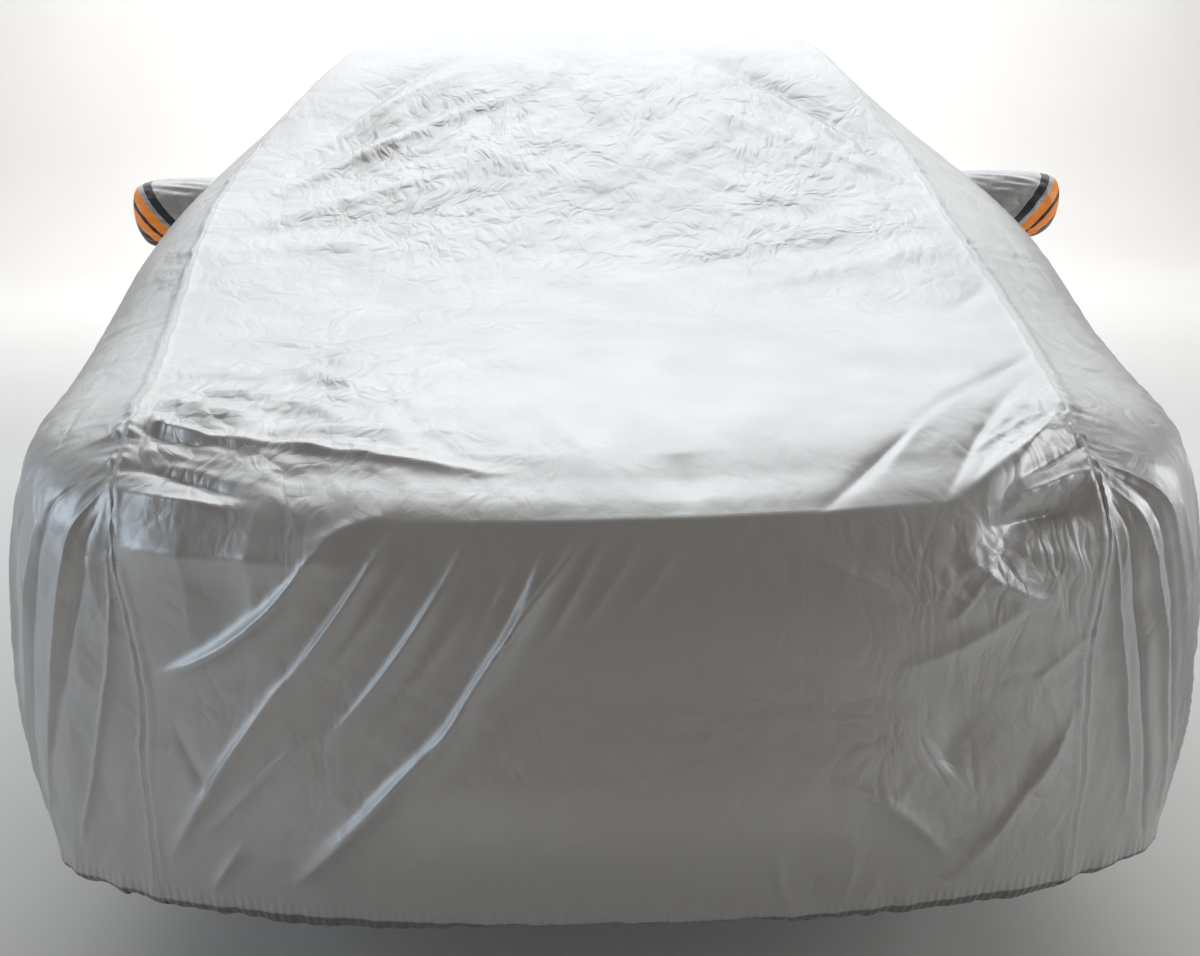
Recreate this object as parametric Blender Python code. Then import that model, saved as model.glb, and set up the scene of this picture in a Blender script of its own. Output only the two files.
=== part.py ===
"""A fitted cover for a small hatchback, in the shape in which it hangs on the car.

The cover is cut as car covers are: one long middle panel that runs from the front hem over the
bonnet, windscreen, roof and tail to the rear hem, a left and a right side panel sewn to it along
two long seams, and a pocket over each door mirror with a striped reflective end. An elastic inside
the hem turns it under. The car itself is left out, so the cover is hollow and open below.

Lengths are in metres. The tables give places on the car as a tailor would measure them: how far
behind the front bumper, how far to the side of the middle, and how high above the ground. The
model's own frame has +Y towards the tail, +Z up, and its origin under the top of the roof, where
the car's roof holds the cloth up.
"""

import math
from collections import namedtuple

import bmesh
import bpy
import numpy as np
from mathutils import Vector
from mathutils.bvhtree import BVHTree

# Driving sizes.
CLOTH = 0.002  # thickness of the coated cloth with its backing
SEAM_GAP = 0.001  # between two pieces that are sewn together
HEM_DEPTH = 0.028  # the casing of the elastic, which is turned under
HEM_TURN_DEG = 40.0
ROOF_REST_BEHIND = 2.70  # where the roof bears the cloth, behind the front bumper
ROOF_REST_HEIGHT = 1.478  # underside of the cloth there, above the ground

# How finely the panels are divided.
LEVELS = 10  # from the lip of the bonnet, or of the tail, down to the hem
ACROSS = 22  # from seam to seam
COLUMNS = 30  # along each side panel
FRONT_CROWDING = 1.15  # above 1 puts more columns at the front, where the cloth is creased most
CROWN_POWER = 2.2  # how square the middle panel lies between its seams

Station = namedtuple("Station", "name mid_behind mid_up seam_aside seam_drift seam_behind seam_up")

# The middle panel, from the front hem to the rear hem: its middle line and its two seams. The drift
# is how far both seams hang over to the left, because the cover doesn't lie quite straight.
STATIONS = (
    Station("front hem", 0.055, 0.380, 0.558, 0.018, 0.140, 0.370),
    Station("bumper", 0.000, 0.520, 0.557, 0.014, 0.130, 0.520),
    Station("grille", 0.020, 0.680, 0.556, 0.014, 0.140, 0.680),
    Station("nose", 0.052, 0.800, 0.577, 0.014, 0.165, 0.800),
    Station("bonnet lip", 0.092, 0.866, 0.578, 0.020, 0.195, 0.866),
    Station("bonnet front", 0.165, 0.893, 0.582, 0.024, 0.265, 0.907),
    Station("bonnet middle", 0.500, 0.955, 0.613, 0.022, 0.500, 0.950),
    Station("bonnet back", 0.880, 1.003, 0.655, 0.032, 0.850, 1.020),
    Station("screen foot", 0.985, 1.030, 0.660, 0.042, 1.000, 1.068),
    Station("screen middle", 1.500, 1.235, 0.658, 0.040, 1.500, 1.215),
    Station("screen head", 2.020, 1.425, 0.558, 0.018, 2.050, 1.420),
    Station("roof front", 2.150, 1.450, 0.545, 0.010, 2.200, 1.440),
    Station("roof middle", 2.700, 1.480, 0.540, 0.000, 2.750, 1.460),
    Station("roof back", 3.300, 1.450, 0.535, -0.010, 3.300, 1.428),
    Station("window middle", 3.680, 1.240, 0.570, -0.015, 3.660, 1.220),
    Station("window foot", 3.980, 1.020, 0.620, -0.015, 3.920, 1.005),
    Station("tail lip", 4.100, 0.950, 0.610, -0.010, 4.030, 0.930),
    Station("tail", 4.200, 0.700, 0.590, -0.010, 4.100, 0.690),
    Station("rear bumper", 4.250, 0.520, 0.580, -0.005, 4.120, 0.520),
    Station("rear hem", 4.180, 0.375, 0.570, 0.000, 4.070, 0.365),
)
FRONT_LIP = 4  # rows of STATIONS
TAIL_LIP = 16

Rib = namedtuple("Rib", "seam_row window shoulder flank hem")

# A side panel, from its front seam to its rear seam. Each rib runs down from the seam, at this row
# of STATIONS, through four places, each given as (aside, behind, up).
RIBS = (
    Rib(4.0, (0.578, 0.184, 0.850), (0.577, 0.160, 0.790), (0.560, 0.137, 0.600), (0.558, 0.140, 0.370)),
    Rib(4.6, (0.650, 0.225, 0.872), (0.675, 0.210, 0.800), (0.685, 0.200, 0.560), (0.694, 0.220, 0.362)),
    Rib(5.3, (0.705, 0.318, 0.890), (0.740, 0.300, 0.815), (0.768, 0.312, 0.545), (0.758, 0.330, 0.325)),
    Rib(5.9, (0.740, 0.450, 0.905), (0.778, 0.430, 0.840), (0.828, 0.450, 0.540), (0.812, 0.465, 0.280)),
    Rib(6.5, (0.762, 0.660, 0.930), (0.806, 0.640, 0.863), (0.880, 0.640, 0.540), (0.845, 0.660, 0.245)),
    Rib(7.0, (0.785, 0.880, 0.965), (0.850, 0.900, 0.888), (0.898, 0.930, 0.550), (0.855, 0.950, 0.228)),
    Rib(8.3, (0.806, 1.200, 1.055), (0.880, 1.220, 0.950), (0.903, 1.250, 0.560), (0.860, 1.250, 0.220)),
    Rib(9.0, (0.800, 1.500, 1.130), (0.893, 1.500, 1.000), (0.905, 1.520, 0.570), (0.862, 1.520, 0.220)),
    Rib(9.7, (0.752, 1.800, 1.200), (0.893, 1.780, 1.010), (0.905, 1.800, 0.575), (0.864, 1.800, 0.220)),
    Rib(10.4, (0.702, 2.110, 1.245), (0.888, 2.080, 1.010), (0.905, 2.080, 0.580), (0.865, 2.080, 0.220)),
    Rib(11.6, (0.685, 2.550, 1.250), (0.882, 2.550, 1.005), (0.903, 2.550, 0.580), (0.865, 2.550, 0.220)),
    Rib(13.0, (0.680, 3.200, 1.235), (0.870, 3.150, 1.000), (0.898, 3.150, 0.580), (0.860, 3.150, 0.220)),
    Rib(14.0, (0.700, 3.620, 1.120), (0.840, 3.580, 0.985), (0.885, 3.600, 0.570), (0.845, 3.600, 0.228)),
    Rib(14.7, (0.712, 3.840, 1.010), (0.790, 3.830, 0.940), (0.840, 3.880, 0.560), (0.800, 3.840, 0.255)),
    Rib(15.4, (0.690, 3.980, 0.930), (0.710, 4.000, 0.860), (0.730, 4.062, 0.550), (0.700, 4.010, 0.315)),
    Rib(16.0, (0.607, 4.045, 0.880), (0.602, 4.062, 0.800), (0.585, 4.114, 0.600), (0.570, 4.070, 0.365)),
)
RIB_DROPS = (0.0, 0.17, 0.36, 0.66, 1.0)  # where a rib's places lie on its way down

Fold = namedtuple("Fold", "start end bow width height")

# The main folds of the middle panel. Places are (aside, along), along the middle line from the
# front hem. A ridge has a positive height, a trough a negative one. The bow is how far the fold's
# middle stands to the right of the straight way from start to end.
MIDDLE_FOLDS = (
    # Diagonal drag lines down the nose, from the lip of the bonnet to the lower left.
    Fold((-0.34, 0.47), (-0.55, 0.31), -0.020, 0.030, 0.014),
    Fold((-0.25, 0.49), (-0.55, 0.07), 0.000, 0.032, 0.013),
    Fold((-0.18, 0.47), (-0.34, 0.26), 0.000, 0.028, 0.008),
    Fold((-0.07, 0.48), (-0.23, 0.22), 0.006, 0.030, 0.014),
    Fold((-0.23, 0.22), (-0.39, 0.07), 0.004, 0.030, 0.014),
    # Hollows beside the grille, and the pointed fold that closes the right one below.
    Fold((-0.50, 0.43), (-0.44, 0.43), 0.000, 0.070, -0.018),
    Fold((0.40, 0.28), (0.34, 0.20), 0.000, 0.090, -0.014),
    Fold((0.51, 0.22), (0.38, 0.05), 0.000, 0.032, 0.014),
    Fold((0.24, 0.20), (0.37, 0.07), -0.010, 0.030, 0.009),
    Fold((0.46, 0.44), (0.38, 0.42), 0.000, 0.045, 0.010),
    # Tucks that the seams gather at the two corners of the bonnet.
    Fold((-0.59, 0.60), (-0.44, 0.57), 0.010, 0.026, -0.012),
    Fold((-0.58, 0.52), (-0.50, 0.51), 0.000, 0.030, 0.010),
    Fold((0.55, 0.56), (0.45, 0.54), 0.000, 0.026, -0.012),
    Fold((0.60, 0.98), (0.22, 0.52), 0.000, 0.030, -0.008),
    Fold((0.55, 0.84), (0.36, 0.52), -0.010, 0.030, -0.006),
    # Soft waves of the windscreen, fanning out from the feet of its pillars.
    Fold((-0.60, 1.70), (-0.28, 2.40), -0.050, 0.055, -0.020),
    Fold((-0.58, 1.62), (-0.12, 2.30), -0.060, 0.050, 0.016),
    Fold((-0.62, 1.54), (-0.05, 2.05), -0.060, 0.055, -0.012),
    Fold((0.60, 1.78), (0.10, 2.50), 0.050, 0.050, -0.018),
    Fold((0.60, 1.70), (0.05, 2.36), 0.050, 0.050, 0.012),
    # Slack at the tail.
    Fold((-0.40, 4.72), (-0.20, 4.90), -0.010, 0.050, 0.010),
    Fold((0.42, 4.95), (0.20, 5.30), -0.020, 0.045, 0.012),
)

# The main folds of the side panels. Places are (along, drop): how far along the panel's ribs, from
# 0 at the front seam to 1 at the rear seam, and how far down, from 0 at the seam to 1 at the hem.
# Widths are shares of the panel's length. They hang like the folds of a curtain.
LEFT_FOLDS = (
    Fold((0.06, 0.30), (0.09, 0.95), 0.000, 0.018, 0.010),
    Fold((0.12, 0.25), (0.15, 0.90), 0.000, 0.018, -0.010),
    Fold((0.19, 0.20), (0.20, 0.95), 0.000, 0.018, 0.012),
    Fold((0.27, 0.25), (0.26, 0.90), 0.000, 0.020, -0.010),
    Fold((0.36, 0.25), (0.33, 0.95), 0.000, 0.020, 0.010),
    Fold((0.46, 0.20), (0.42, 0.95), 0.000, 0.020, 0.010),
    Fold((0.60, 0.30), (0.64, 0.95), 0.000, 0.022, 0.010),
    Fold((0.75, 0.25), (0.77, 0.95), 0.000, 0.020, 0.011),
    Fold((0.88, 0.25), (0.87, 0.95), 0.000, 0.020, 0.011),
)
RIGHT_FOLDS = (
    Fold((0.05, 0.20), (0.08, 0.95), 0.000, 0.018, 0.011),
    Fold((0.10, 0.20), (0.12, 0.95), 0.000, 0.018, -0.010),
    Fold((0.16, 0.15), (0.17, 0.95), 0.000, 0.018, 0.012),
    Fold((0.22, 0.20), (0.22, 0.95), 0.000, 0.018, -0.010),
    Fold((0.29, 0.20), (0.27, 0.95), 0.000, 0.020, 0.011),
    Fold((0.40, 0.25), (0.37, 0.95), 0.000, 0.020, 0.010),
    Fold((0.50, 0.20), (0.53, 0.95), 0.000, 0.020, 0.010),
    Fold((0.66, 0.30), (0.64, 0.95), 0.000, 0.022, 0.010),
    Fold((0.80, 0.25), (0.82, 0.95), 0.000, 0.020, 0.011),
    Fold((0.91, 0.25), (0.89, 0.95), 0.000, 0.018, 0.010),
)
FOLD_STEPS = 14  # straight steps in a bowed fold
FOLD_TIP = 0.05  # a fold runs on past its ends by this share of half a wave
PANEL_DEPTH = 0.2  # a side panel's depth as a share of its length, to weigh drops against places along
SIDE_DRIFT = 0.016  # both side panels hang this much over to the left
END_BLEND = 0.2  # over this share of its length a side panel bends in to its front and rear seams
SEAM_CALM = 0.10  # folds die out over this share of a panel's width at its long seams
FRONT_CALM = 0.01  # and over these shares of its length at its front and rear seams
REAR_CALM = 0.03
CAR_CENTRE = (0.0, 2.70, 0.60)  # a place well inside the car, which tells a panel's outer face

# The mirror pockets, as sizes on the right-hand side.
POCKET_BEHIND = 1.545
POCKET_TOP = 1.152
POCKET_TIP_ASIDE = 0.968
POCKET_HALF_DEPTH = 0.085
POCKET_HALF_HEIGHT = 0.070
POCKET_ROUNDING = 3.6  # power of the end's superellipse: 2 is round, more is boxier
POCKET_NOSE_DROP = 0.030  # the end's foremost point, below the pocket's top
POCKET_GAP = 0.003  # between the pocket's mouth and the side panel under it
RAY_START = 1.5  # a place aside of the car, from which the pocket's mouth is laid on the panel
HOLE_REACH = 0.03  # how far the plug that cuts the mirror's hole stands out on both sides
POCKET_AROUND = 22
POCKET_RINGS = 5
MIRROR_HOLE_SHARE = 0.80  # the hole in the side panel, as a share of the pocket's mouth
STRIPE_EDGE_ASIDE = 0.956  # the striped end starts on a slanting line through this place
STRIPE_EDGE_UP = 1.137
STRIPE_EDGE_SLOPE_DEG = 50.0
CUT_REACH = 0.6  # size of the blocks that part a pocket from its striped end

SILVER = (0.78, 0.80, 0.83)
STRIPE_ORANGE = (0.90, 0.33, 0.06)


def to_model(points):
    """Places on the car, as (aside, behind, up), in the model's own frame."""
    return np.asarray(points, float) - (0.0, ROOF_REST_BEHIND, ROOF_REST_HEIGHT)


def smooth_curve(knots, points, at):
    """A smooth curve through points, one at each knot, read at the places in at."""
    knots, points, at = np.asarray(knots, float), np.asarray(points, float), np.asarray(at, float)
    steps = np.diff(knots)[:, None]
    slopes = np.diff(points, axis=0) / steps
    inner = (slopes[:-1] * steps[1:] + slopes[1:] * steps[:-1]) / (steps[:-1] + steps[1:])
    tangents = np.vstack([slopes[:1], inner, slopes[-1:]])
    span = np.clip(np.searchsorted(knots, at, side="right") - 1, 0, len(knots) - 2)
    step = steps[span]
    t = (at - knots[span])[:, None] / step
    return (
        (2 * t**3 - 3 * t**2 + 1) * points[span]
        + (t**3 - 2 * t**2 + t) * step * tangents[span]
        + (3 * t**2 - 2 * t**3) * points[span + 1]
        + (t**3 - t**2) * step * tangents[span + 1]
    )


MIDDLE_LINE = np.array([(s.mid_behind, s.mid_up) for s in STATIONS])
SEAM_PLACES = np.array([(s.seam_aside, s.seam_drift, s.seam_behind, s.seam_up) for s in STATIONS])
STATION_LENGTHS = np.concatenate([[0.0], np.cumsum(np.linalg.norm(np.diff(MIDDLE_LINE, axis=0), axis=1))])


def length_at(row):
    """How far along the middle line a row of STATIONS lies. The row may be a fraction."""
    return np.interp(row, np.arange(len(STATIONS)), STATION_LENGTHS)


def rib_shares():
    """The places of the side panel's columns, from 0 at the front seam to 1 at the rear seam."""
    return np.linspace(0.0, 1.0, COLUMNS + 1) ** FRONT_CROWDING


def seam_rows(shares):
    """The row of STATIONS at which the column at each share meets the long seam."""
    return np.interp(shares, np.linspace(0.0, 1.0, len(RIBS)), [rib.seam_row for rib in RIBS])


def row_lengths():
    """Where the middle panel's rows lie along its middle line: they meet the side panels' columns."""
    down = np.linspace(0.0, 1.0, LEVELS + 1)
    front = length_at(FRONT_LIP) * down
    top = length_at(seam_rows(rib_shares()))
    rear = length_at(TAIL_LIP) + (STATION_LENGTHS[-1] - length_at(TAIL_LIP)) * down
    return np.concatenate([front, top[1:-1], rear])


def seam_points(lengths, side):
    """Places along the left seam, at side -1, or the right one, at side 1."""
    aside, drift, behind, up = smooth_curve(STATION_LENGTHS, SEAM_PLACES, lengths).T
    return np.stack([side * aside - drift, behind, up], 1)


def middle_points(lengths, across):
    """Rows of points of the middle panel, before its folds, as (aside, behind, up)."""
    middle = smooth_curve(STATION_LENGTHS, MIDDLE_LINE, lengths)
    left, right = seam_points(lengths, -1), seam_points(lengths, 1)
    out = np.abs(across) ** CROWN_POWER
    points = np.empty((len(lengths), len(across), 3))
    points[..., 0] = np.outer(left[:, 0], (1 - across) / 2) + np.outer(right[:, 0], (1 + across) / 2)
    points[..., 1] = middle[:, :1] + np.outer(right[:, 1] - middle[:, 0], out)
    points[..., 2] = middle[:, 1:] + np.outer(right[:, 2] - middle[:, 1], out)
    return points


def side_points(shares, drops, side):
    """Ribs of points of a side panel, before its folds: one row for each drop."""
    at = np.linspace(0.0, 1.0, len(RIBS))
    places = [seam_points(length_at(seam_rows(shares)), side)]
    for name in Rib._fields[1:]:
        place = smooth_curve(at, [getattr(rib, name) for rib in RIBS], shares)
        places.append(place * (side, 1, 1) - (SIDE_DRIFT, 0, 0))
    points = np.empty((len(drops), len(shares), 3))
    for column in range(len(shares)):
        rib = [place[column] for place in places]
        points[:, column] = smooth_curve(RIB_DROPS, rib, drops)
    for end, lip, foot, share in (
        (0, length_at(FRONT_LIP), 0.0, shares),
        (-1, length_at(TAIL_LIP), STATION_LENGTHS[-1], 1 - shares),
    ):
        edge = seam_points(lip + (foot - lip) * drops, side)
        points += (edge - points[:, end])[:, None] * (np.clip(1 - share / END_BLEND, 0, 1) ** 2)[:, None]
    return points


def fold_heights(aside, along, folds):
    """How high the folds lift the cloth at each place."""
    height = np.zeros_like(aside)
    for fold in folds:
        start, end = np.array(fold.start), np.array(fold.end)
        way = end - start
        to_right = np.array([way[1], -way[0]]) / np.linalg.norm(way)
        nearest, reached = np.full(aside.shape, np.inf), np.zeros_like(aside)
        for step in range(FOLD_STEPS):
            a, b = (
                start + way * s + to_right * fold.bow * 4 * s * (1 - s)
                for s in (step / FOLD_STEPS, (step + 1) / FOLD_STEPS)
            )
            d = b - a
            t = np.clip(((aside - a[0]) * d[0] + (along - a[1]) * d[1]) / (d @ d), 0, 1)
            away = np.hypot(aside - a[0] - t * d[0], along - a[1] - t * d[1])
            reached = np.where(away < nearest, (step + t) / FOLD_STEPS, reached)
            nearest = np.minimum(nearest, away)
        taper = np.sin(np.pi * (FOLD_TIP + reached * (1 - 2 * FOLD_TIP)))
        height += fold.height * taper * np.exp(-((nearest / fold.width) ** 2))
    return height


def grid_normals(points):
    """The unit normal at each point of a grid."""
    normals = np.cross(np.gradient(points, axis=1), np.gradient(points, axis=0))
    return normals / np.linalg.norm(normals, axis=2, keepdims=True)


def facing(points, outward):
    """The grid's normals, turned to the side that outward points to."""
    normals = grid_normals(points)
    return normals if (normals * outward).sum() > 0 else -normals


def folded_grids():
    """The three panels with their folds, each a grid of points in the model's frame, and their normals."""
    across = np.linspace(-1.0, 1.0, ACROSS + 1)
    lengths = row_lengths()
    shares, drops = rib_shares(), np.linspace(0.0, 1.0, LEVELS + 1)
    middle = middle_points(lengths, across)
    left, right = side_points(shares, drops, -1), side_points(shares, drops, 1)
    calm_across = np.clip((1 - np.abs(across)) / SEAM_CALM, 0, 1)[None, :]
    height = fold_heights(middle[..., 0], np.repeat(lengths[:, None], len(across), 1), MIDDLE_FOLDS)
    middle_out = facing(middle, middle - CAR_CENTRE)
    grids = {"middle_panel": middle + middle_out * (height * calm_across)[..., None]}
    share_grid, drop_grid = np.meshgrid(shares, drops)
    calm_sides = np.clip(drop_grid / SEAM_CALM, 0, 1)
    calm_sides *= np.clip(share_grid / FRONT_CALM, 0, 1) * np.clip((1 - share_grid) / REAR_CALM, 0, 1)
    for name, base, folds in (
        ("side_panel_left", left, LEFT_FOLDS),
        ("side_panel_right", right, RIGHT_FOLDS),
    ):
        weighed = [
            fold._replace(
                start=(fold.start[0], fold.start[1] * PANEL_DEPTH),
                end=(fold.end[0], fold.end[1] * PANEL_DEPTH),
            )
            for fold in folds
        ]
        height = fold_heights(share_grid, drop_grid * PANEL_DEPTH, weighed)
        grids[name] = base + facing(base, base - CAR_CENTRE) * (height * calm_sides)[..., None]
    normals = shared_normals({name: (grid, facing(grid, grid - CAR_CENTRE)) for name, grid in grids.items()})
    turned = {}
    for name, grid in grids.items():
        points, outward = with_hem(to_model(grid), normals[name])
        if name == "middle_panel":
            points, outward = (part[::-1] for part in with_hem(points[::-1], outward[::-1]))
        turned[name] = points, outward
    return turned


def with_hem(points, normals):
    """The grid and its normals with the hem beyond the last row turned under, as one more row."""
    hem, above, out = points[-1], points[-2], normals[-1]
    down = (hem - above) / np.linalg.norm(hem - above, axis=1, keepdims=True)
    turn = math.radians(HEM_TURN_DEG)
    casing = hem + (down * math.cos(turn) - out * math.sin(turn)) * HEM_DEPTH
    half_turned = out * math.cos(turn / 2) + down * math.sin(turn / 2)
    turned = out * math.cos(turn) + down * math.sin(turn)
    return np.vstack([points, casing[None]]), np.vstack([normals[:-1], half_turned[None], turned[None]])


def shared_normals(grids):
    """Normals that two panels share where their edges meet, so that the sewn edges stay in step."""
    sums = {}
    for points, normals in grids.values():
        for place, normal in zip(points.reshape(-1, 3), normals.reshape(-1, 3)):
            key = tuple(np.round(place, 5))
            sums[key] = sums.get(key, 0) + normal
    shared = {}
    for name, (points, _) in grids.items():
        found = np.array([sums[tuple(np.round(place, 5))] for place in points.reshape(-1, 3)])
        shared[name] = (found / np.linalg.norm(found, axis=1, keepdims=True)).reshape(points.shape)
    return shared


def drawn_in(points, sides):
    """The grid with the edges on these sides drawn in by half of a seam's gap."""
    moved = points.copy()
    for side in sides:
        edge, beside = {
            "first_row": (np.s_[0], np.s_[1]),
            "last_row": (np.s_[-1], np.s_[-2]),
            "first_column": (np.s_[:, 0], np.s_[:, 1]),
            "last_column": (np.s_[:, -1], np.s_[:, -2]),
        }[side]
        inward = points[beside] - points[edge]
        moved[edge] += inward / np.linalg.norm(inward, axis=1, keepdims=True) * SEAM_GAP / 2
    return moved


def material(name, colour, roughness, metallic):
    """A plain Principled material."""
    made = bpy.data.materials.new(name)
    made.use_nodes = True
    shader = made.node_tree.nodes["Principled BSDF"]
    shader.inputs["Base Color"].default_value = (*colour, 1.0)
    shader.inputs["Roughness"].default_value = roughness
    shader.inputs["Metallic"].default_value = metallic
    return made


def solid(name, vertices, faces, finish):
    """An object with one closed mesh, its faces turned outwards and shaded smooth."""
    mesh = bpy.data.meshes.new(name)
    mesh.from_pydata([tuple(v) for v in vertices], [], faces)
    tidy = bmesh.new()
    tidy.from_mesh(mesh)
    bmesh.ops.recalc_face_normals(tidy, faces=tidy.faces)
    bmesh.ops.triangulate(tidy, faces=tidy.faces)
    tidy.to_mesh(mesh)
    tidy.free()
    mesh.shade_smooth()
    mesh.materials.append(finish)
    made = bpy.data.objects.new(name, mesh)
    bpy.context.scene.collection.objects.link(made)
    return made


def shell_from_grid(name, outer, inner, finish):
    """A sheet with a thickness: the outer grid, the inner grid and the rim that joins them."""
    rows, columns = outer.shape[:2]
    index = np.arange(rows * columns).reshape(rows, columns)
    back = index + rows * columns
    faces = []
    for skin in (index, back):
        quads = np.stack([skin[:-1, :-1], skin[1:, :-1], skin[1:, 1:], skin[:-1, 1:]], 2)
        faces += quads.reshape(-1, 4).tolist()
    rim = np.concatenate([index[0], index[1:, -1], index[-1, -2::-1], index[-2:0:-1, 0]])
    for a, b in zip(rim, np.roll(rim, -1)):
        faces.append([int(a), int(b), int(b) + rows * columns, int(a) + rows * columns])
    return solid(name, np.vstack([outer.reshape(-1, 3), inner.reshape(-1, 3)]), faces, finish)


def make_panels(grids, finish):
    """The middle panel and the two side panels."""
    sewn = {
        "middle_panel": ("first_column", "last_column"),
        "side_panel_left": ("first_row", "first_column", "last_column"),
        "side_panel_right": ("first_row", "first_column", "last_column"),
    }
    made = {}
    for name, (points, normals) in grids.items():
        outer = drawn_in(points, sewn[name])
        inner = drawn_in(points - normals * CLOTH, sewn[name])
        made[name] = shell_from_grid(name, outer, inner, finish)
    return made


def panel_tree(panel):
    """The faces of a panel, ready for rays."""
    mesh = panel.data
    return BVHTree.FromPolygons([v.co for v in mesh.vertices], [list(p.vertices) for p in mesh.polygons])


def pocket_ring(tree, side, growth, proud):
    """A ring of the pocket's mouth: its points stand this far proud of the panel."""
    ring = []
    for step in range(POCKET_AROUND):
        angle = 2 * math.pi * step / POCKET_AROUND
        behind = POCKET_BEHIND + POCKET_HALF_DEPTH * growth * math.cos(angle)
        up = POCKET_TOP - POCKET_HALF_HEIGHT + POCKET_HALF_HEIGHT * growth * math.sin(angle)
        start = Vector(to_model((side * RAY_START, behind, up)))
        hit = tree.ray_cast(start, Vector((-side, 0, 0)))[0]
        ring.append((hit.x + side * proud, start.y, start.z))
    return np.array(ring)


def pocket_skin(tree, side, inset):
    """Rings of one face of the pocket, from its mouth to its round end, and the end's last point."""
    growth = 1 - inset / POCKET_HALF_HEIGHT
    mouth = pocket_ring(tree, side, growth, POCKET_GAP)
    tip_aside = side * (POCKET_TIP_ASIDE - inset)
    nose = POCKET_TOP - ROOF_REST_HEIGHT - POCKET_NOSE_DROP
    centre = POCKET_BEHIND - ROOF_REST_BEHIND
    rings = [mouth]
    for ring in range(1, POCKET_RINGS):
        way = math.sin(0.5 * math.pi * ring / POCKET_RINGS)
        size = (1 - way**POCKET_ROUNDING) ** (1 / POCKET_ROUNDING)
        points = mouth.copy()
        points[:, 0] += (tip_aside - mouth[:, 0]) * way
        points[:, 1] = centre + (mouth[:, 1] - centre) * size
        points[:, 2] = nose + (mouth[:, 2] - nose) * size
        rings.append(points)
    end = rings[-1].mean(axis=0)
    end[0] = tip_aside
    return rings, end


def make_pocket(name, tree, side, finish):
    """The whole pocket as a thin shell, open at its mouth."""
    skins = [pocket_skin(tree, side, 0.0), pocket_skin(tree, side, CLOTH)]
    vertices, faces, starts = [], [], []
    for rings, end in skins:
        starts.append(len(vertices))
        vertices += [p for ring in rings for p in ring] + [end]
        first, last = starts[-1], starts[-1] + (len(rings) - 1) * POCKET_AROUND
        for ring in range(len(rings) - 1):
            for i in range(POCKET_AROUND):
                j = (i + 1) % POCKET_AROUND
                a = first + ring * POCKET_AROUND
                faces.append([a + i, a + j, a + POCKET_AROUND + j, a + POCKET_AROUND + i])
        for i in range(POCKET_AROUND):
            faces.append([last + i, last + (i + 1) % POCKET_AROUND, len(vertices) - 1])
    for i in range(POCKET_AROUND):
        j = (i + 1) % POCKET_AROUND
        faces.append([starts[0] + i, starts[0] + j, starts[1] + j, starts[1] + i])
    return solid(name, vertices, faces, finish)


def half_space(name, side, below):
    """A large block that ends on the slanting line where the pocket's striped end starts."""
    slope = math.radians(STRIPE_EDGE_SLOPE_DEG)
    normal = np.array([side * math.sin(slope), 0.0, -math.cos(slope)])
    along = np.array([side * math.cos(slope), 0.0, math.sin(slope)])
    sign = 1 if below else -1
    start = to_model((side * STRIPE_EDGE_ASIDE, POCKET_BEHIND, STRIPE_EDGE_UP))
    start -= normal * sign * SEAM_GAP / 2
    corners = [
        start + (normal * sign * n + along * a + np.array([0.0, b, 0.0])) * CUT_REACH
        for n in (0, 1)
        for a in (-1, 1)
        for b in (-1, 1)
    ]
    faces = [[0, 1, 3, 2], [4, 6, 7, 5], [0, 4, 5, 1], [2, 3, 7, 6], [0, 2, 6, 4], [1, 5, 7, 3]]
    return cutter(solid(name, corners, faces, None))


def cutter(made):
    """Keeps a cutting shape out of renders."""
    made.hide_render = True
    made.display_type = "WIRE"
    return made


def cut(target, tool):
    """Takes tool away from target."""
    boolean = target.modifiers.new(tool.name, "BOOLEAN")
    boolean.operation = "DIFFERENCE"
    boolean.object = tool


def mirror_hole(name, tree, side):
    """A plug through the side panel where the car's mirror reaches into its pocket."""
    rim = pocket_ring(tree, side, MIRROR_HOLE_SHARE, 0.0)
    outside, inside = rim.copy(), rim.copy()
    outside[:, 0] += side * HOLE_REACH
    inside[:, 0] -= side * HOLE_REACH
    count = POCKET_AROUND
    faces = [[i, (i + 1) % count, count + (i + 1) % count, count + i] for i in range(count)]
    faces += [list(range(count)), list(range(count, 2 * count))]
    return cutter(solid(name, np.vstack([outside, inside]), faces, None))


def make_pockets(panels, silver, striped):
    """Both mirror pockets, each a silver piece and a striped end, over a hole in the side panel."""
    for side_name, side in (("left", -1), ("right", 1)):
        panel = "side_panel_" + side_name
        tree = panel_tree(panels[panel])
        cut(panels[panel], mirror_hole("mirror_hole_" + side_name, tree, side))
        upper = make_pocket("mirror_pocket_" + side_name, tree, side, silver)
        lower = make_pocket("striped_end_" + side_name, tree, side, striped)
        cut(upper, half_space("stripe_side_" + side_name, side, True))
        cut(lower, half_space("silver_side_" + side_name, side, False))


def main():
    """Builds the cover in an empty scene."""
    for old in list(bpy.data.objects):
        bpy.data.objects.remove(old)
    silver = material("silver_cloth", SILVER, 0.38, 0.75)
    striped = material("striped_cloth", STRIPE_ORANGE, 0.45, 0.0)
    grids = folded_grids()
    panels = make_panels(grids, silver)
    make_pockets(panels, silver, striped)


main()
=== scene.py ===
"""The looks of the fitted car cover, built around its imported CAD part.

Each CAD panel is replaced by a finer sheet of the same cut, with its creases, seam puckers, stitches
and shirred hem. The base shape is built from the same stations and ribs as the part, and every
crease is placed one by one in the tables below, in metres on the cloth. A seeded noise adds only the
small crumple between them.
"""

import math
from collections import namedtuple

import bmesh
import bpy
import numpy as np
from mathutils import Matrix, Vector


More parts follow.
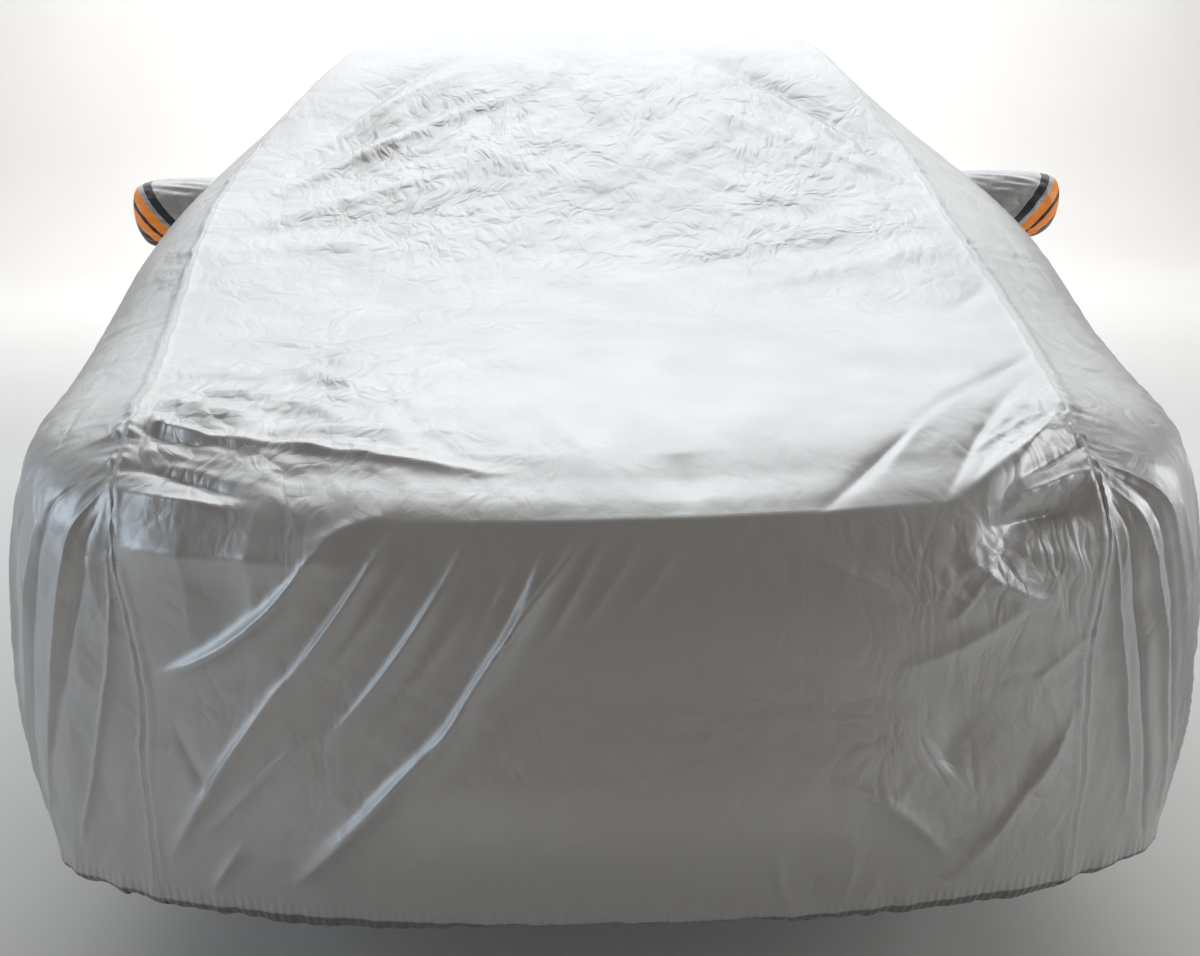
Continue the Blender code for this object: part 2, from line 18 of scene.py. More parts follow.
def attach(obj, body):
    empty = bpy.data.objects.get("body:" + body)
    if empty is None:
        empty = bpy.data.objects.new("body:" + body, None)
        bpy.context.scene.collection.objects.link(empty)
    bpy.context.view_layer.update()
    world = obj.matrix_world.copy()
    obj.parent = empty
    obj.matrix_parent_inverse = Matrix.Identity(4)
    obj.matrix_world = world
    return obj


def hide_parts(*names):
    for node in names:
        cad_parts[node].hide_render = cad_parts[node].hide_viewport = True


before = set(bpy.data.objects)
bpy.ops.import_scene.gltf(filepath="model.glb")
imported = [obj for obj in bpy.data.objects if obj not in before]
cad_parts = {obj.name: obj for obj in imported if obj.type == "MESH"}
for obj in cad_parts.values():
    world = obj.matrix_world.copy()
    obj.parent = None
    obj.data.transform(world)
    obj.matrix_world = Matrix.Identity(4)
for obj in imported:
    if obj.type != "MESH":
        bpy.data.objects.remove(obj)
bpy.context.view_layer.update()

# Sizes shared with the part.
ROOF_REST_BEHIND = 2.70
ROOF_REST_HEIGHT = 1.478
CROWN_POWER = 2.2
SIDE_DRIFT = 0.016
END_BLEND = 0.2
CAR_CENTRE = (0.0, 2.70, 0.60)

Station = namedtuple("Station", "name mid_behind mid_up seam_aside seam_drift seam_behind seam_up")

# The middle panel, from the front hem to the rear hem: its middle line and its two seams. The drift
# is how far both seams hang over to the left, because the cover doesn't lie quite straight.
STATIONS = (
    Station("front hem", 0.055, 0.380, 0.558, 0.018, 0.140, 0.370),
    Station("bumper", 0.000, 0.520, 0.557, 0.014, 0.130, 0.520),
    Station("grille", 0.020, 0.680, 0.556, 0.014, 0.140, 0.680),
    Station("nose", 0.052, 0.800, 0.577, 0.014, 0.165, 0.800),
    Station("bonnet lip", 0.092, 0.866, 0.578, 0.020, 0.195, 0.866),
    Station("bonnet front", 0.165, 0.893, 0.582, 0.024, 0.265, 0.907),
    Station("bonnet middle", 0.500, 0.955, 0.613, 0.022, 0.500, 0.950),
    Station("bonnet back", 0.880, 1.003, 0.655, 0.032, 0.850, 1.020),
    Station("screen foot", 0.985, 1.030, 0.660, 0.042, 1.000, 1.068),
    Station("screen middle", 1.500, 1.235, 0.658, 0.040, 1.500, 1.215),
    Station("screen head", 2.020, 1.425, 0.558, 0.018, 2.050, 1.420),
    Station("roof front", 2.150, 1.450, 0.545, 0.010, 2.200, 1.440),
    Station("roof middle", 2.700, 1.480, 0.540, 0.000, 2.750, 1.460),
    Station("roof back", 3.300, 1.450, 0.535, -0.010, 3.300, 1.428),
    Station("window middle", 3.680, 1.240, 0.570, -0.015, 3.660, 1.220),
    Station("window foot", 3.980, 1.020, 0.620, -0.015, 3.920, 1.005),
    Station("tail lip", 4.100, 0.950, 0.610, -0.010, 4.030, 0.930),
    Station("tail", 4.200, 0.700, 0.590, -0.010, 4.100, 0.690),
    Station("rear bumper", 4.250, 0.520, 0.580, -0.005, 4.120, 0.520),
    Station("rear hem", 4.180, 0.375, 0.570, 0.000, 4.070, 0.365),
)
FRONT_LIP = 4  # rows of STATIONS
TAIL_LIP = 16

Rib = namedtuple("Rib", "seam_row window shoulder flank hem")

# A side panel, from its front seam to its rear seam. Each rib runs down from the seam, at this row
# of STATIONS, through four places, each given as (aside, behind, up).
RIBS = (
    Rib(4.0, (0.578, 0.184, 0.850), (0.577, 0.160, 0.790), (0.560, 0.137, 0.600), (0.558, 0.140, 0.370)),
    Rib(4.6, (0.650, 0.225, 0.872), (0.675, 0.210, 0.800), (0.685, 0.200, 0.560), (0.694, 0.220, 0.362)),
    Rib(5.3, (0.705, 0.318, 0.890), (0.740, 0.300, 0.815), (0.768, 0.312, 0.545), (0.758, 0.330, 0.325)),
    Rib(5.9, (0.740, 0.450, 0.905), (0.778, 0.430, 0.840), (0.828, 0.450, 0.540), (0.812, 0.465, 0.280)),
    Rib(6.5, (0.762, 0.660, 0.930), (0.806, 0.640, 0.863), (0.880, 0.640, 0.540), (0.845, 0.660, 0.245)),
    Rib(7.0, (0.785, 0.880, 0.965), (0.850, 0.900, 0.888), (0.898, 0.930, 0.550), (0.855, 0.950, 0.228)),
    Rib(8.3, (0.806, 1.200, 1.055), (0.880, 1.220, 0.950), (0.903, 1.250, 0.560), (0.860, 1.250, 0.220)),
    Rib(9.0, (0.800, 1.500, 1.130), (0.893, 1.500, 1.000), (0.905, 1.520, 0.570), (0.862, 1.520, 0.220)),
    Rib(9.7, (0.752, 1.800, 1.200), (0.893, 1.780, 1.010), (0.905, 1.800, 0.575), (0.864, 1.800, 0.220)),
    Rib(10.4, (0.702, 2.110, 1.245), (0.888, 2.080, 1.010), (0.905, 2.080, 0.580), (0.865, 2.080, 0.220)),
    Rib(11.6, (0.685, 2.550, 1.250), (0.882, 2.550, 1.005), (0.903, 2.550, 0.580), (0.865, 2.550, 0.220)),
    Rib(13.0, (0.680, 3.200, 1.235), (0.870, 3.150, 1.000), (0.898, 3.150, 0.580), (0.860, 3.150, 0.220)),
    Rib(14.0, (0.700, 3.620, 1.120), (0.840, 3.580, 0.985), (0.885, 3.600, 0.570), (0.845, 3.600, 0.228)),
    Rib(14.7, (0.712, 3.840, 1.010), (0.790, 3.830, 0.940), (0.840, 3.880, 0.560), (0.800, 3.840, 0.255)),
    Rib(15.4, (0.690, 3.980, 0.930), (0.710, 4.000, 0.860), (0.730, 4.062, 0.550), (0.700, 4.010, 0.315)),
    Rib(16.0, (0.607, 4.045, 0.880), (0.602, 4.062, 0.800), (0.585, 4.114, 0.600), (0.570, 4.070, 0.365)),
)
RIB_DROPS = (0.0, 0.17, 0.36, 0.66, 1.0)  # where a rib's places lie on its way down

MIDDLE_COLUMNS = 380
FINE_ROWS = 160  # past this row only every second column goes on
MIDDLE_ROWS = (  # how many rows lie before each of these places along the middle line
    (0.00, 0),
    (0.66, 160),
    (1.34, 210),
    (2.66, 276),
    (3.60, 290),
    (5.29, 330),
)
SIDE_COLUMNS = 560
SIDE_ROWS = 120
SIDE_CROWDING = 1.35  # above 1 puts more columns at the front
SEAM_CROWDING = 0.35  # 0 spaces the columns evenly, and 0.5 draws them all the way to the seams
HEM_ROWS = 9
HEM_DEPTH = 0.028
HEM_GATHER_HEIGHT = 0.0022  # of the middle panel's gathers, which die out over the reach
HEM_GATHER_REACH = 0.030
HEM_GATHER_SIZE = 0.024
SIDE_GATHER_HEIGHT = 0.0025
SIDE_GATHER_REACH = 0.035
SIDE_GATHER_SIZE = 0.026

# How far the front hem is turned under, in degrees, at places across the front. Sideways the casing
# turns under by the first or last of them.
HEM_TURNS = (
    (-0.56, 38.0),
    (-0.40, 14.0),
    (-0.25, 18.0),
    (-0.12, 50.0),
    (0.02, 60.0),
    (0.12, 44.0),
    (0.26, 20.0),
    (0.45, 20.0),
    (0.56, 38.0),
)

Fold = namedtuple("Fold", "start end bow width height lean")

# Creases of the middle panel. Places are (aside, along). A ridge has a positive height, a trough a
# negative one. The bow is how far its middle stands to the right of the straight way from start to
# end. The lean makes one flank steeper: above 0 the right one, below 0 the left.
MIDDLE_FOLDS = (
    # Drag lines down the nose, from the lip of the bonnet to the lower left.
    Fold((-0.33, 0.480), (-0.545, 0.305), -0.022, 0.015, 0.0190, 0.5),
    Fold((-0.26, 0.490), (-0.40, 0.300), -0.006, 0.012, 0.0120, 0.5),
    Fold((-0.385, 0.320), (-0.55, 0.070), 0.004, 0.014, 0.0140, 0.5),
    Fold((-0.23, 0.490), (-0.33, 0.340), -0.004, 0.008, 0.0045, 0.5),
    Fold((-0.18, 0.480), (-0.335, 0.260), -0.008, 0.010, 0.0105, 0.6),
    Fold((-0.15, 0.460), (-0.29, 0.250), 0.000, 0.008, 0.0050, 0.5),
    Fold((-0.12, 0.470), (-0.17, 0.370), 0.000, 0.007, 0.0045, 0.5),
    Fold((-0.09, 0.480), (-0.14, 0.370), 0.000, 0.008, 0.0070, 0.5),
    Fold((-0.050, 0.490), (-0.22, 0.245), 0.008, 0.011, 0.0150, 0.5),
    Fold((-0.18, 0.300), (-0.39, 0.060), 0.006, 0.015, 0.0180, 0.5),
    Fold((-0.03, 0.490), (-0.09, 0.385), 0.000, 0.007, 0.0060, 0.5),
    Fold((0.01, 0.490), (-0.05, 0.400), 0.000, 0.007, 0.0045, 0.5),
    Fold((0.05, 0.480), (0.00, 0.410), 0.000, 0.006, 0.0030, 0.5),
    Fold((-0.45, 0.110), (-0.50, 0.030), 0.000, 0.010, 0.0080, 0.5),
    Fold((-0.30, 0.180), (-0.36, 0.110), 0.000, 0.009, 0.0050, 0.5),
    Fold((-0.36, 0.260), (-0.50, 0.110), 0.004, 0.009, 0.0050, 0.5),
    Fold((-0.53, 0.250), (-0.47, 0.150), 0.006, 0.014, -0.0050, 0.0),
    # The smooth recesses over the lamps, and the pointed crease that closes the right one below.
    Fold((-0.50, 0.43), (-0.42, 0.43), 0.000, 0.080, -0.0100, 0.0),
    Fold((0.40, 0.28), (0.35, 0.20), 0.000, 0.080, -0.0150, 0.0),
    Fold((0.525, 0.235), (0.455, 0.145), -0.004, 0.015, 0.0120, 0.5),
    Fold((0.46, 0.150), (0.38, 0.045), 0.004, 0.016, 0.0140, 0.5),
    Fold((0.24, 0.205), (0.37, 0.075), -0.014, 0.013, 0.0080, -0.3),
    Fold((0.30, 0.330), (0.47, 0.390), 0.010, 0.013, 0.0045, 0.0),
    Fold((0.37, 0.455), (0.50, 0.375), 0.012, 0.012, 0.0060, 0.3),
    Fold((0.41, 0.430), (0.36, 0.375), 0.000, 0.010, 0.0050, 0.0),
    Fold((0.20, 0.460), (0.30, 0.410), 0.000, 0.011, 0.0030, 0.0),
    Fold((0.545, 0.330), (0.47, 0.290), 0.000, 0.010, 0.0050, 0.0),
    Fold((0.545, 0.130), (0.50, 0.070), 0.000, 0.010, 0.0055, 0.0),
    # Short gathers above the shirred hem.
    Fold((-0.16, 0.060), (-0.15, 0.000), 0.000, 0.008, 0.0040, 0.0),
    Fold((-0.11, 0.075), (-0.10, 0.000), 0.000, 0.008, 0.0045, 0.0),
    Fold((-0.05, 0.055), (-0.045, 0.00), 0.000, 0.008, 0.0040, 0.0),
    Fold((0.16, 0.125), (0.19, 0.000), 0.006, 0.009, 0.0055, 0.3),
    Fold((0.21, 0.100), (0.215, 0.00), 0.000, 0.008, -0.0040, 0.0),
    Fold((0.25, 0.135), (0.24, 0.000), -0.006, 0.009, 0.0060, -0.3),
    Fold((0.29, 0.075), (0.27, 0.000), 0.000, 0.008, 0.0045, 0.0),
    # The lip of the bonnet: straight in the middle, sagging at the left and climbing at the right.
    Fold((-0.28, 0.505), (0.42, 0.512), 0.000, 0.016, 0.0050, 0.0),
    Fold((-0.66, 0.455), (-0.26, 0.462), 0.004, 0.042, 0.0230, 0.0),
    Fold((-0.36, 0.470), (-0.27, 0.515), 0.000, 0.016, 0.0060, 0.0),
    Fold((0.38, 0.520), (0.575, 0.640), 0.000, 0.034, 0.0150, -0.3),
    Fold((0.40, 0.460), (0.575, 0.520), 0.000, 0.040, -0.0150, 0.0),
    Fold((0.06, 0.64), (0.07, 0.54), 0.000, 0.034, -0.0050, 0.0),
    # Creases that the left seam gathers at the corner of the bonnet.
    Fold((-0.600, 0.640), (-0.49, 0.625), 0.006, 0.016, -0.0110, 0.0),
    Fold((-0.600, 0.675), (-0.50, 0.640), 0.004, 0.014, 0.0100, 0.3),
    Fold((-0.50, 0.640), (-0.16, 0.595), -0.010, 0.017, 0.0085, 0.4),
    Fold((-0.595, 0.560), (-0.44, 0.530), -0.012, 0.014, -0.0130, 0.3),
    Fold((-0.590, 0.525), (-0.45, 0.515), 0.004, 0.012, 0.0090, 0.0),
    Fold((-0.600, 0.760), (-0.46, 0.715), 0.010, 0.016, 0.0100, 0.0),
    Fold((-0.610, 0.820), (-0.30, 0.730), -0.020, 0.018, 0.0070, 0.4),
    Fold((-0.615, 0.900), (-0.33, 0.830), -0.020, 0.020, -0.0060, 0.0),
    Fold((-0.44, 0.96), (-0.26, 0.78), 0.014, 0.020, 0.0060, 0.4),
    Fold((-0.52, 1.10), (-0.30, 0.98), 0.014, 0.022, 0.0060, -0.4),
    Fold((-0.36, 1.06), (-0.10, 0.90), -0.014, 0.024, 0.0045, 0.3),
    Fold((-0.42, 0.67), (-0.20, 0.70), -0.010, 0.014, 0.0045, 0.0),
    Fold((-0.33, 0.90), (-0.22, 0.66), 0.010, 0.018, -0.0045, 0.0),
    Fold((-0.14, 0.86), (-0.04, 0.64), 0.006, 0.022, 0.0030, 0.0),
    # Creases at the right corner of the bonnet.
    Fold((0.600, 0.990), (0.350, 0.660), 0.006, 0.016, -0.0085, 0.4),
    Fold((0.350, 0.660), (0.210, 0.510), 0.000, 0.014, -0.0060, 0.4),
    Fold((0.575, 0.930), (0.300, 0.570), 0.010, 0.020, 0.0050, 0.0),
    Fold((0.555, 0.860), (0.360, 0.520), -0.008, 0.014, -0.0070, -0.4),
    Fold((0.575, 0.700), (0.440, 0.540), -0.010, 0.014, 0.0055, 0.0),
    Fold((0.585, 0.620), (0.500, 0.590), 0.000, 0.012, 0.0080, 0.0),
    Fold((0.580, 0.580), (0.455, 0.535), 0.006, 0.012, -0.0120, 0.3),
    Fold((0.575, 0.545), (0.440, 0.508), 0.000, 0.010, 0.0090, 0.3),
    Fold((0.570, 0.490), (0.410, 0.480), 0.000, 0.011, -0.0100, 0.0),
    # Soft waves of the windscreen: two troughs and a ridge from the left pillar.
    Fold((-0.555, 1.98), (-0.30, 2.46), -0.040, 0.045, -0.0190, 0.3),
    Fold((-0.575, 1.90), (-0.25, 2.36), -0.040, 0.030, 0.0110, 0.4),
    Fold((-0.600, 1.80), (-0.24, 2.20), -0.040, 0.035, -0.0130, 0.4),
    Fold((-0.625, 1.66), (-0.12, 2.22), -0.050, 0.032, 0.0090, 0.4),
    Fold((-0.640, 1.56), (-0.02, 2.30), -0.060, 0.038, -0.0100, 0.3),
    Fold((-0.640, 1.50), (-0.20, 1.84), -0.030, 0.024, 0.0070, 0.4),
    Fold((-0.650, 1.46), (-0.26, 1.66), -0.020, 0.020, -0.0060, 0.0),
    Fold((-0.650, 1.42), (-0.34, 1.50), -0.010, 0.018, 0.0050, 0.0),
    # Waves from the right pillar.
    Fold((0.615, 1.84), (0.18, 2.50), 0.040, 0.040, -0.0200, -0.3),
    Fold((0.630, 1.76), (0.16, 2.42), 0.040, 0.028, 0.0100, -0.4),
    Fold((0.640, 1.68), (0.12, 2.46), 0.060, 0.036, -0.0130, -0.3),
    Fold((0.650, 1.60), (0.10, 2.20), 0.050, 0.026, 0.0070, -0.4),
    Fold((0.655, 1.47), (0.02, 1.38), 0.030, 0.022, -0.0060, 0.3),
    Fold((0.655, 1.42), (0.20, 1.30), 0.020, 0.018, 0.0045, 0.0),
    Fold((0.660, 1.35), (0.52, 1.20), 0.000, 0.016, -0.0060, 0.0),
    Fold((-0.10, 2.40), (0.06, 2.05), 0.020, 0.050, 0.0040, 0.0),
    Fold((-0.30, 1.95), (0.10, 1.70), 0.020, 0.030, 0.0035, 0.0),
    Fold((0.30, 2.00), (0.05, 1.75), -0.020, 0.030, -0.0035, 0.0),
    # Slack over the roof and down the tail.
    Fold((-0.42, 2.95), (0.10, 3.10), 0.020, 0.050, 0.0035, 0.0),
    Fold((0.45, 3.40), (0.05, 3.20), 0.020, 0.050, 0.0035, 0.0),
    Fold((-0.50, 3.62), (-0.10, 4.05), -0.040, 0.040, -0.0100, 0.3),
    Fold((0.50, 3.66), (0.16, 4.10), 0.040, 0.040, -0.0100, -0.3),
    Fold((-0.52, 3.80), (-0.16, 4.22), -0.030, 0.028, 0.0080, 0.3),
    Fold((0.54, 3.84), (0.22, 4.26), 0.030, 0.028, 0.0070, -0.3),
    Fold((-0.40, 4.70), (-0.20, 4.92), -0.010, 0.028, 0.0100, 0.4),
    Fold((-0.24, 4.62), (-0.02, 5.05), 0.020, 0.024, 0.0080, 0.4),
    Fold((0.42, 4.95), (0.20, 5.28), -0.020, 0.028, 0.0110, -0.4),
    Fold((0.50, 4.66), (0.30, 5.00), 0.010, 0.022, 0.0070, -0.3),
)

# Creases of the side panels. Places are (along, drop), along from 0 at the front seam to 1 at the
# rear seam, and drop from 0 at the long seam to 1 at the hem. Widths are shares of the length.
LEFT_FOLDS = (
    Fold((0.010, 0.16), (0.055, 0.90), -0.004, 0.0032, 0.0060, 0.3),
    Fold((0.030, 0.10), (0.080, 0.70), -0.004, 0.0036, -0.0060, 0.3),
    Fold((0.045, 0.06), (0.100, 0.92), -0.006, 0.0040, 0.0075, 0.4),
    Fold((0.075, 0.06), (0.125, 0.80), -0.004, 0.0036, -0.0060, 0.0),
    Fold((0.095, 0.28), (0.150, 0.95), -0.004, 0.0044, 0.0075, 0.4),
    Fold((0.130, 0.28), (0.165, 0.60), -0.002, 0.0040, -0.0060, 0.0),
    Fold((0.150, 0.28), (0.185, 0.95), 0.002, 0.0048, 0.0083, 0.3),
    Fold((0.185, 0.34), (0.205, 0.90), 0.000, 0.0044, -0.0060, 0.0),
    Fold((0.215, 0.34), (0.225, 0.95), 0.002, 0.0048, 0.0067, -0.3),
    Fold((0.250, 0.34), (0.250, 0.85), 0.002, 0.0048, -0.0060, 0.0),
    Fold((0.290, 0.34), (0.275, 0.95), 0.002, 0.0052, 0.0067, 0.0),
    Fold((0.345, 0.42), (0.320, 0.95), 0.002, 0.0056, 0.0060, 0.0),
    Fold((0.360, 0.38), (0.375, 0.95), 0.002, 0.0056, -0.0053, 0.0),
    Fold((0.440, 0.34), (0.410, 0.95), 0.004, 0.0064, 0.0067, 0.0),
    Fold((0.500, 0.34), (0.520, 0.95), -0.004, 0.0072, 0.0060, 0.0),
    Fold((0.590, 0.34), (0.570, 0.95), 0.004, 0.0064, -0.0060, 0.0),
    Fold((0.660, 0.34), (0.680, 0.95), -0.004, 0.0064, 0.0067, 0.0),
    Fold((0.750, 0.34), (0.770, 0.95), 0.000, 0.0064, 0.0075, 0.0),
    Fold((0.820, 0.34), (0.820, 0.95), 0.000, 0.0056, -0.0067, 0.0),
    Fold((0.880, 0.34), (0.865, 0.95), 0.000, 0.0056, 0.0075, 0.0),
    Fold((0.940, 0.34), (0.915, 0.95), 0.000, 0.0048, 0.0067, 0.0),
)
RIGHT_FOLDS = (
    Fold((0.008, 0.12), (0.040, 0.85), 0.004, 0.0026, 0.0063, 0.3),
    Fold((0.020, 0.08), (0.060, 0.95), 0.006, 0.0030, -0.0072, 0.3),
    Fold((0.032, 0.05), (0.080, 0.90), 0.006, 0.0030, 0.0090, 0.4),
    Fold((0.050, 0.05), (0.095, 0.80), 0.004, 0.0030, -0.0081, 0.3),
    Fold((0.062, 0.04), (0.112, 0.95), 0.004, 0.0034, 0.0090, 0.3),
    Fold((0.082, 0.28), (0.125, 0.75), 0.002, 0.0034, -0.0072, 0.0),
    Fold((0.100, 0.28), (0.140, 0.95), 0.002, 0.0037, 0.0099, 0.3),
    Fold((0.125, 0.28), (0.155, 0.85), 0.000, 0.0037, -0.0081, 0.0),
    Fold((0.148, 0.28), (0.172, 0.95), 0.000, 0.0037, 0.0090, -0.3),
    Fold((0.175, 0.34), (0.192, 0.90), 0.000, 0.0041, -0.0072, 0.0),
    Fold((0.205, 0.34), (0.212, 0.95), 0.000, 0.0041, 0.0099, 0.3),
    Fold((0.240, 0.34), (0.235, 0.90), 0.000, 0.0041, -0.0072, 0.0),
    Fold((0.275, 0.34), (0.262, 0.95), 0.002, 0.0045, 0.0090, 0.0),
    Fold((0.345, 0.42), (0.300, 0.95), 0.004, 0.0045, 0.0072, 0.0),
    Fold((0.355, 0.40), (0.360, 0.95), 0.002, 0.0053, -0.0072, 0.0),
    Fold((0.420, 0.34), (0.395, 0.95), 0.004, 0.0060, 0.0081, 0.0),
    Fold((0.480, 0.34), (0.500, 0.95), -0.004, 0.0060, 0.0072, 0.0),
    Fold((0.560, 0.34), (0.545, 0.95), 0.004, 0.0060, -0.0072, 0.0),
    Fold((0.640, 0.34), (0.650, 0.95), -0.004, 0.0060, 0.0081, 0.0),
    Fold((0.730, 0.34), (0.745, 0.95), 0.000, 0.0060, 0.0090, 0.0),
    Fold((0.810, 0.34), (0.815, 0.95), 0.000, 0.0053, -0.0081, 0.0),
    Fold((0.870, 0.34), (0.860, 0.95), 0.000, 0.0053, 0.0090, 0.0),
    Fold((0.935, 0.34), (0.915, 0.95), 0.000, 0.0045, 0.0081, 0.0),
)
FOLD_STEPS = 10
FOLD_TIP = 0.04
PANEL_DEPTH = 0.2
SEAM_WAVER = 0.0028  # how far a long seam strays aside, over this length along it
SEAM_WAVER_LENGTH = 0.065
SEAM_FINE_WAVER = 0.0014
SEAM_FINE_WAVER_LENGTH = 0.03
SEAM_CALM = 0.030  # folds die out over this width, in metres, at the long seams

Gather = namedtuple("Gather", "along half_long gain")

# Where the long seams are drawn up most, by how far along the middle line.
SEAM_GATHERS = (
    Gather(0.33, 0.03, 0.5),
    Gather(0.60, 0.12, 1.1),
    Gather(1.45, 0.10, 0.5),
    Gather(1.95, 0.25, 0.7),
)

Patch = namedtuple("Patch", "aside along half_wide half_long height size turn_deg stretch")

# Where the middle panel is crumpled, beyond the little that it is everywhere. The turn is the way
# in which its creases run, counted from straight across, and the stretch how long they are drawn.
CRUMPLED_EVERYWHERE = 0.0004
CRUMPLED = (
    Patch(-0.40, 0.76, 0.20, 0.24, 0.0046, 0.070, -12.0, 1.8),
    Patch(-0.56, 0.62, 0.08, 0.10, 0.0040, 0.050, -10.0, 1.5),
    Patch(-0.25, 1.12, 0.34, 0.22, 0.0018, 0.080, -15.0, 2.2),
    Patch(0.43, 0.42, 0.10, 0.05, 0.0030, 0.045, 30.0, 1.3),
    Patch(0.52, 0.60, 0.10, 0.12, 0.0034, 0.055, 40.0, 1.8),
    Patch(0.40, 0.16, 0.22, 0.14, 0.0016, 0.060, 60.0, 1.5),
    Patch(-0.30, 0.18, 0.30, 0.15, 0.0012, 0.060, 50.0, 2.0),
    Patch(-0.36, 1.85, 0.26, 0.42, 0.0058, 0.070, 52.0, 2.6),
    Patch(-0.05, 2.12, 0.28, 0.38, 0.0052, 0.075, 75.0, 2.0),
    Patch(0.38, 1.95, 0.26, 0.48, 0.0050, 0.075, 126.0, 2.4),
    Patch(0.00, 1.50, 0.62, 0.14, 0.0030, 0.060, 5.0, 2.2),
    Patch(0.00, 1.25, 0.60, 0.10, 0.0012, 0.070, 0.0, 3.0),
    Patch(0.00, 2.90, 0.70, 0.50, 0.0016, 0.110, 20.0, 1.5),
    Patch(0.00, 4.00, 0.70, 0.45, 0.0034, 0.110, 80.0, 1.6),
    Patch(0.00, 5.00, 0.60, 0.30, 0.0018, 0.100, 60.0, 1.5),
)

# The mirror pockets, as sizes on the right-hand side.
POCKET_BEHIND = 1.545
POCKET_TOP = 1.152
POCKET_TIP_ASIDE = 0.968
POCKET_HALF_DEPTH = 0.085
POCKET_HALF_HEIGHT = 0.070
POCKET_ROUNDING = 3.6
POCKET_NOSE_DROP = 0.030
POCKET_AROUND = 120
POCKET_RINGS = 56
POCKET_TUCK = 0.0005  # how far the mouth sinks towards the panel
RAY_START = 1.5  # a place aside of the car, from which the mouth is laid on the panel
PLEAT_SIZE = 0.016
PLEAT_HEIGHT = 0.0045
STRIPE_EDGE_ASIDE = 0.956
STRIPE_EDGE_UP = 1.137
STRIPE_EDGE_SLOPE_DEG = 50.0

SILVER = (0.60, 0.605, 0.61)
ORANGE = (1.0, 0.30, 0.030)
STRIPE_GREY = (0.022, 0.024, 0.027)


def to_model(points):
    """Places on the car, as (aside, behind, up), in the model's own frame."""
    return np.asarray(points, float) - (0.0, ROOF_REST_BEHIND, ROOF_REST_HEIGHT)


def smooth_curve(knots, points, at):
    """A smooth curve through points, one at each knot, read at the places in at."""
    knots, points, at = np.asarray(knots, float), np.asarray(points, float), np.asarray(at, float)
    steps = np.diff(knots)[:, None]
    slopes = np.diff(points, axis=0) / steps
    inner = (slopes[:-1] * steps[1:] + slopes[1:] * steps[:-1]) / (steps[:-1] + steps[1:])
    tangents = np.vstack([slopes[:1], inner, slopes[-1:]])
    span = np.clip(np.searchsorted(knots, at, side="right") - 1, 0, len(knots) - 2)
    step = steps[span]
    t = (at - knots[span])[:, None] / step
    return (
        (2 * t**3 - 3 * t**2 + 1) * points[span]
        + (t**3 - 2 * t**2 + t) * step * tangents[span]
        + (3 * t**2 - 2 * t**3) * points[span + 1]
        + (t**3 - t**2) * step * tangents[span + 1]
    )


MIDDLE_LINE = np.array([(s.mid_behind, s.mid_up) for s in STATIONS])
SEAM_PLACES = np.array([(s.seam_aside, s.seam_drift, s.seam_behind, s.seam_up) for s in STATIONS])
STATION_LENGTHS = np.concatenate([[0.0], np.cumsum(np.linalg.norm(np.diff(MIDDLE_LINE, axis=0), axis=1))])


def length_at(row):
    """How far along the middle line a row of STATIONS lies. The row may be a fraction."""
    return np.interp(row, np.arange(len(STATIONS)), STATION_LENGTHS)


def noise(x, y, size, seed):
    """Smooth bumps of about this size, between -1 and 1, the same ones for the same seed."""
    angle = np.random.default_rng(seed).uniform(0, 2 * math.pi, (128, 128))
    x, y = x / size + 41.3, y / size + 17.7
    column, row = np.floor(x).astype(int), np.floor(y).astype(int)
    x, y = x - column, y - row
    total = 0
    for i in (0, 1):
        for j in (0, 1):
            a = angle[(column + i) % 128, (row + j) % 128]
            slope = (x - i) * np.cos(a) + (y - j) * np.sin(a)
            u, v = 1 - np.abs(x - i), 1 - np.abs(y - j)
            total = total + slope * u**3 * (u * (6 * u - 15) + 10) * v**3 * (v * (6 * v - 15) + 10)
    return total * 1.5


def crumple(x, y, size, seed):
    """Facets between soft sharp creases, between -1 and 1."""
    bent_x = x + 0.5 * size * noise(x, y, 2.1 * size, seed + 1)
    bent_y = y + 0.5 * size * noise(x, y, 2.1 * size, seed + 2)
    coarse = 1 - 2.6 * np.sqrt(noise(bent_x, bent_y, size, seed) ** 2 + 0.0025)
    fine = 1 - 2.6 * np.sqrt(noise(bent_x, bent_y, 0.47 * size, seed + 3) ** 2 + 0.004)
    return 0.7 * coarse + 0.3 * fine


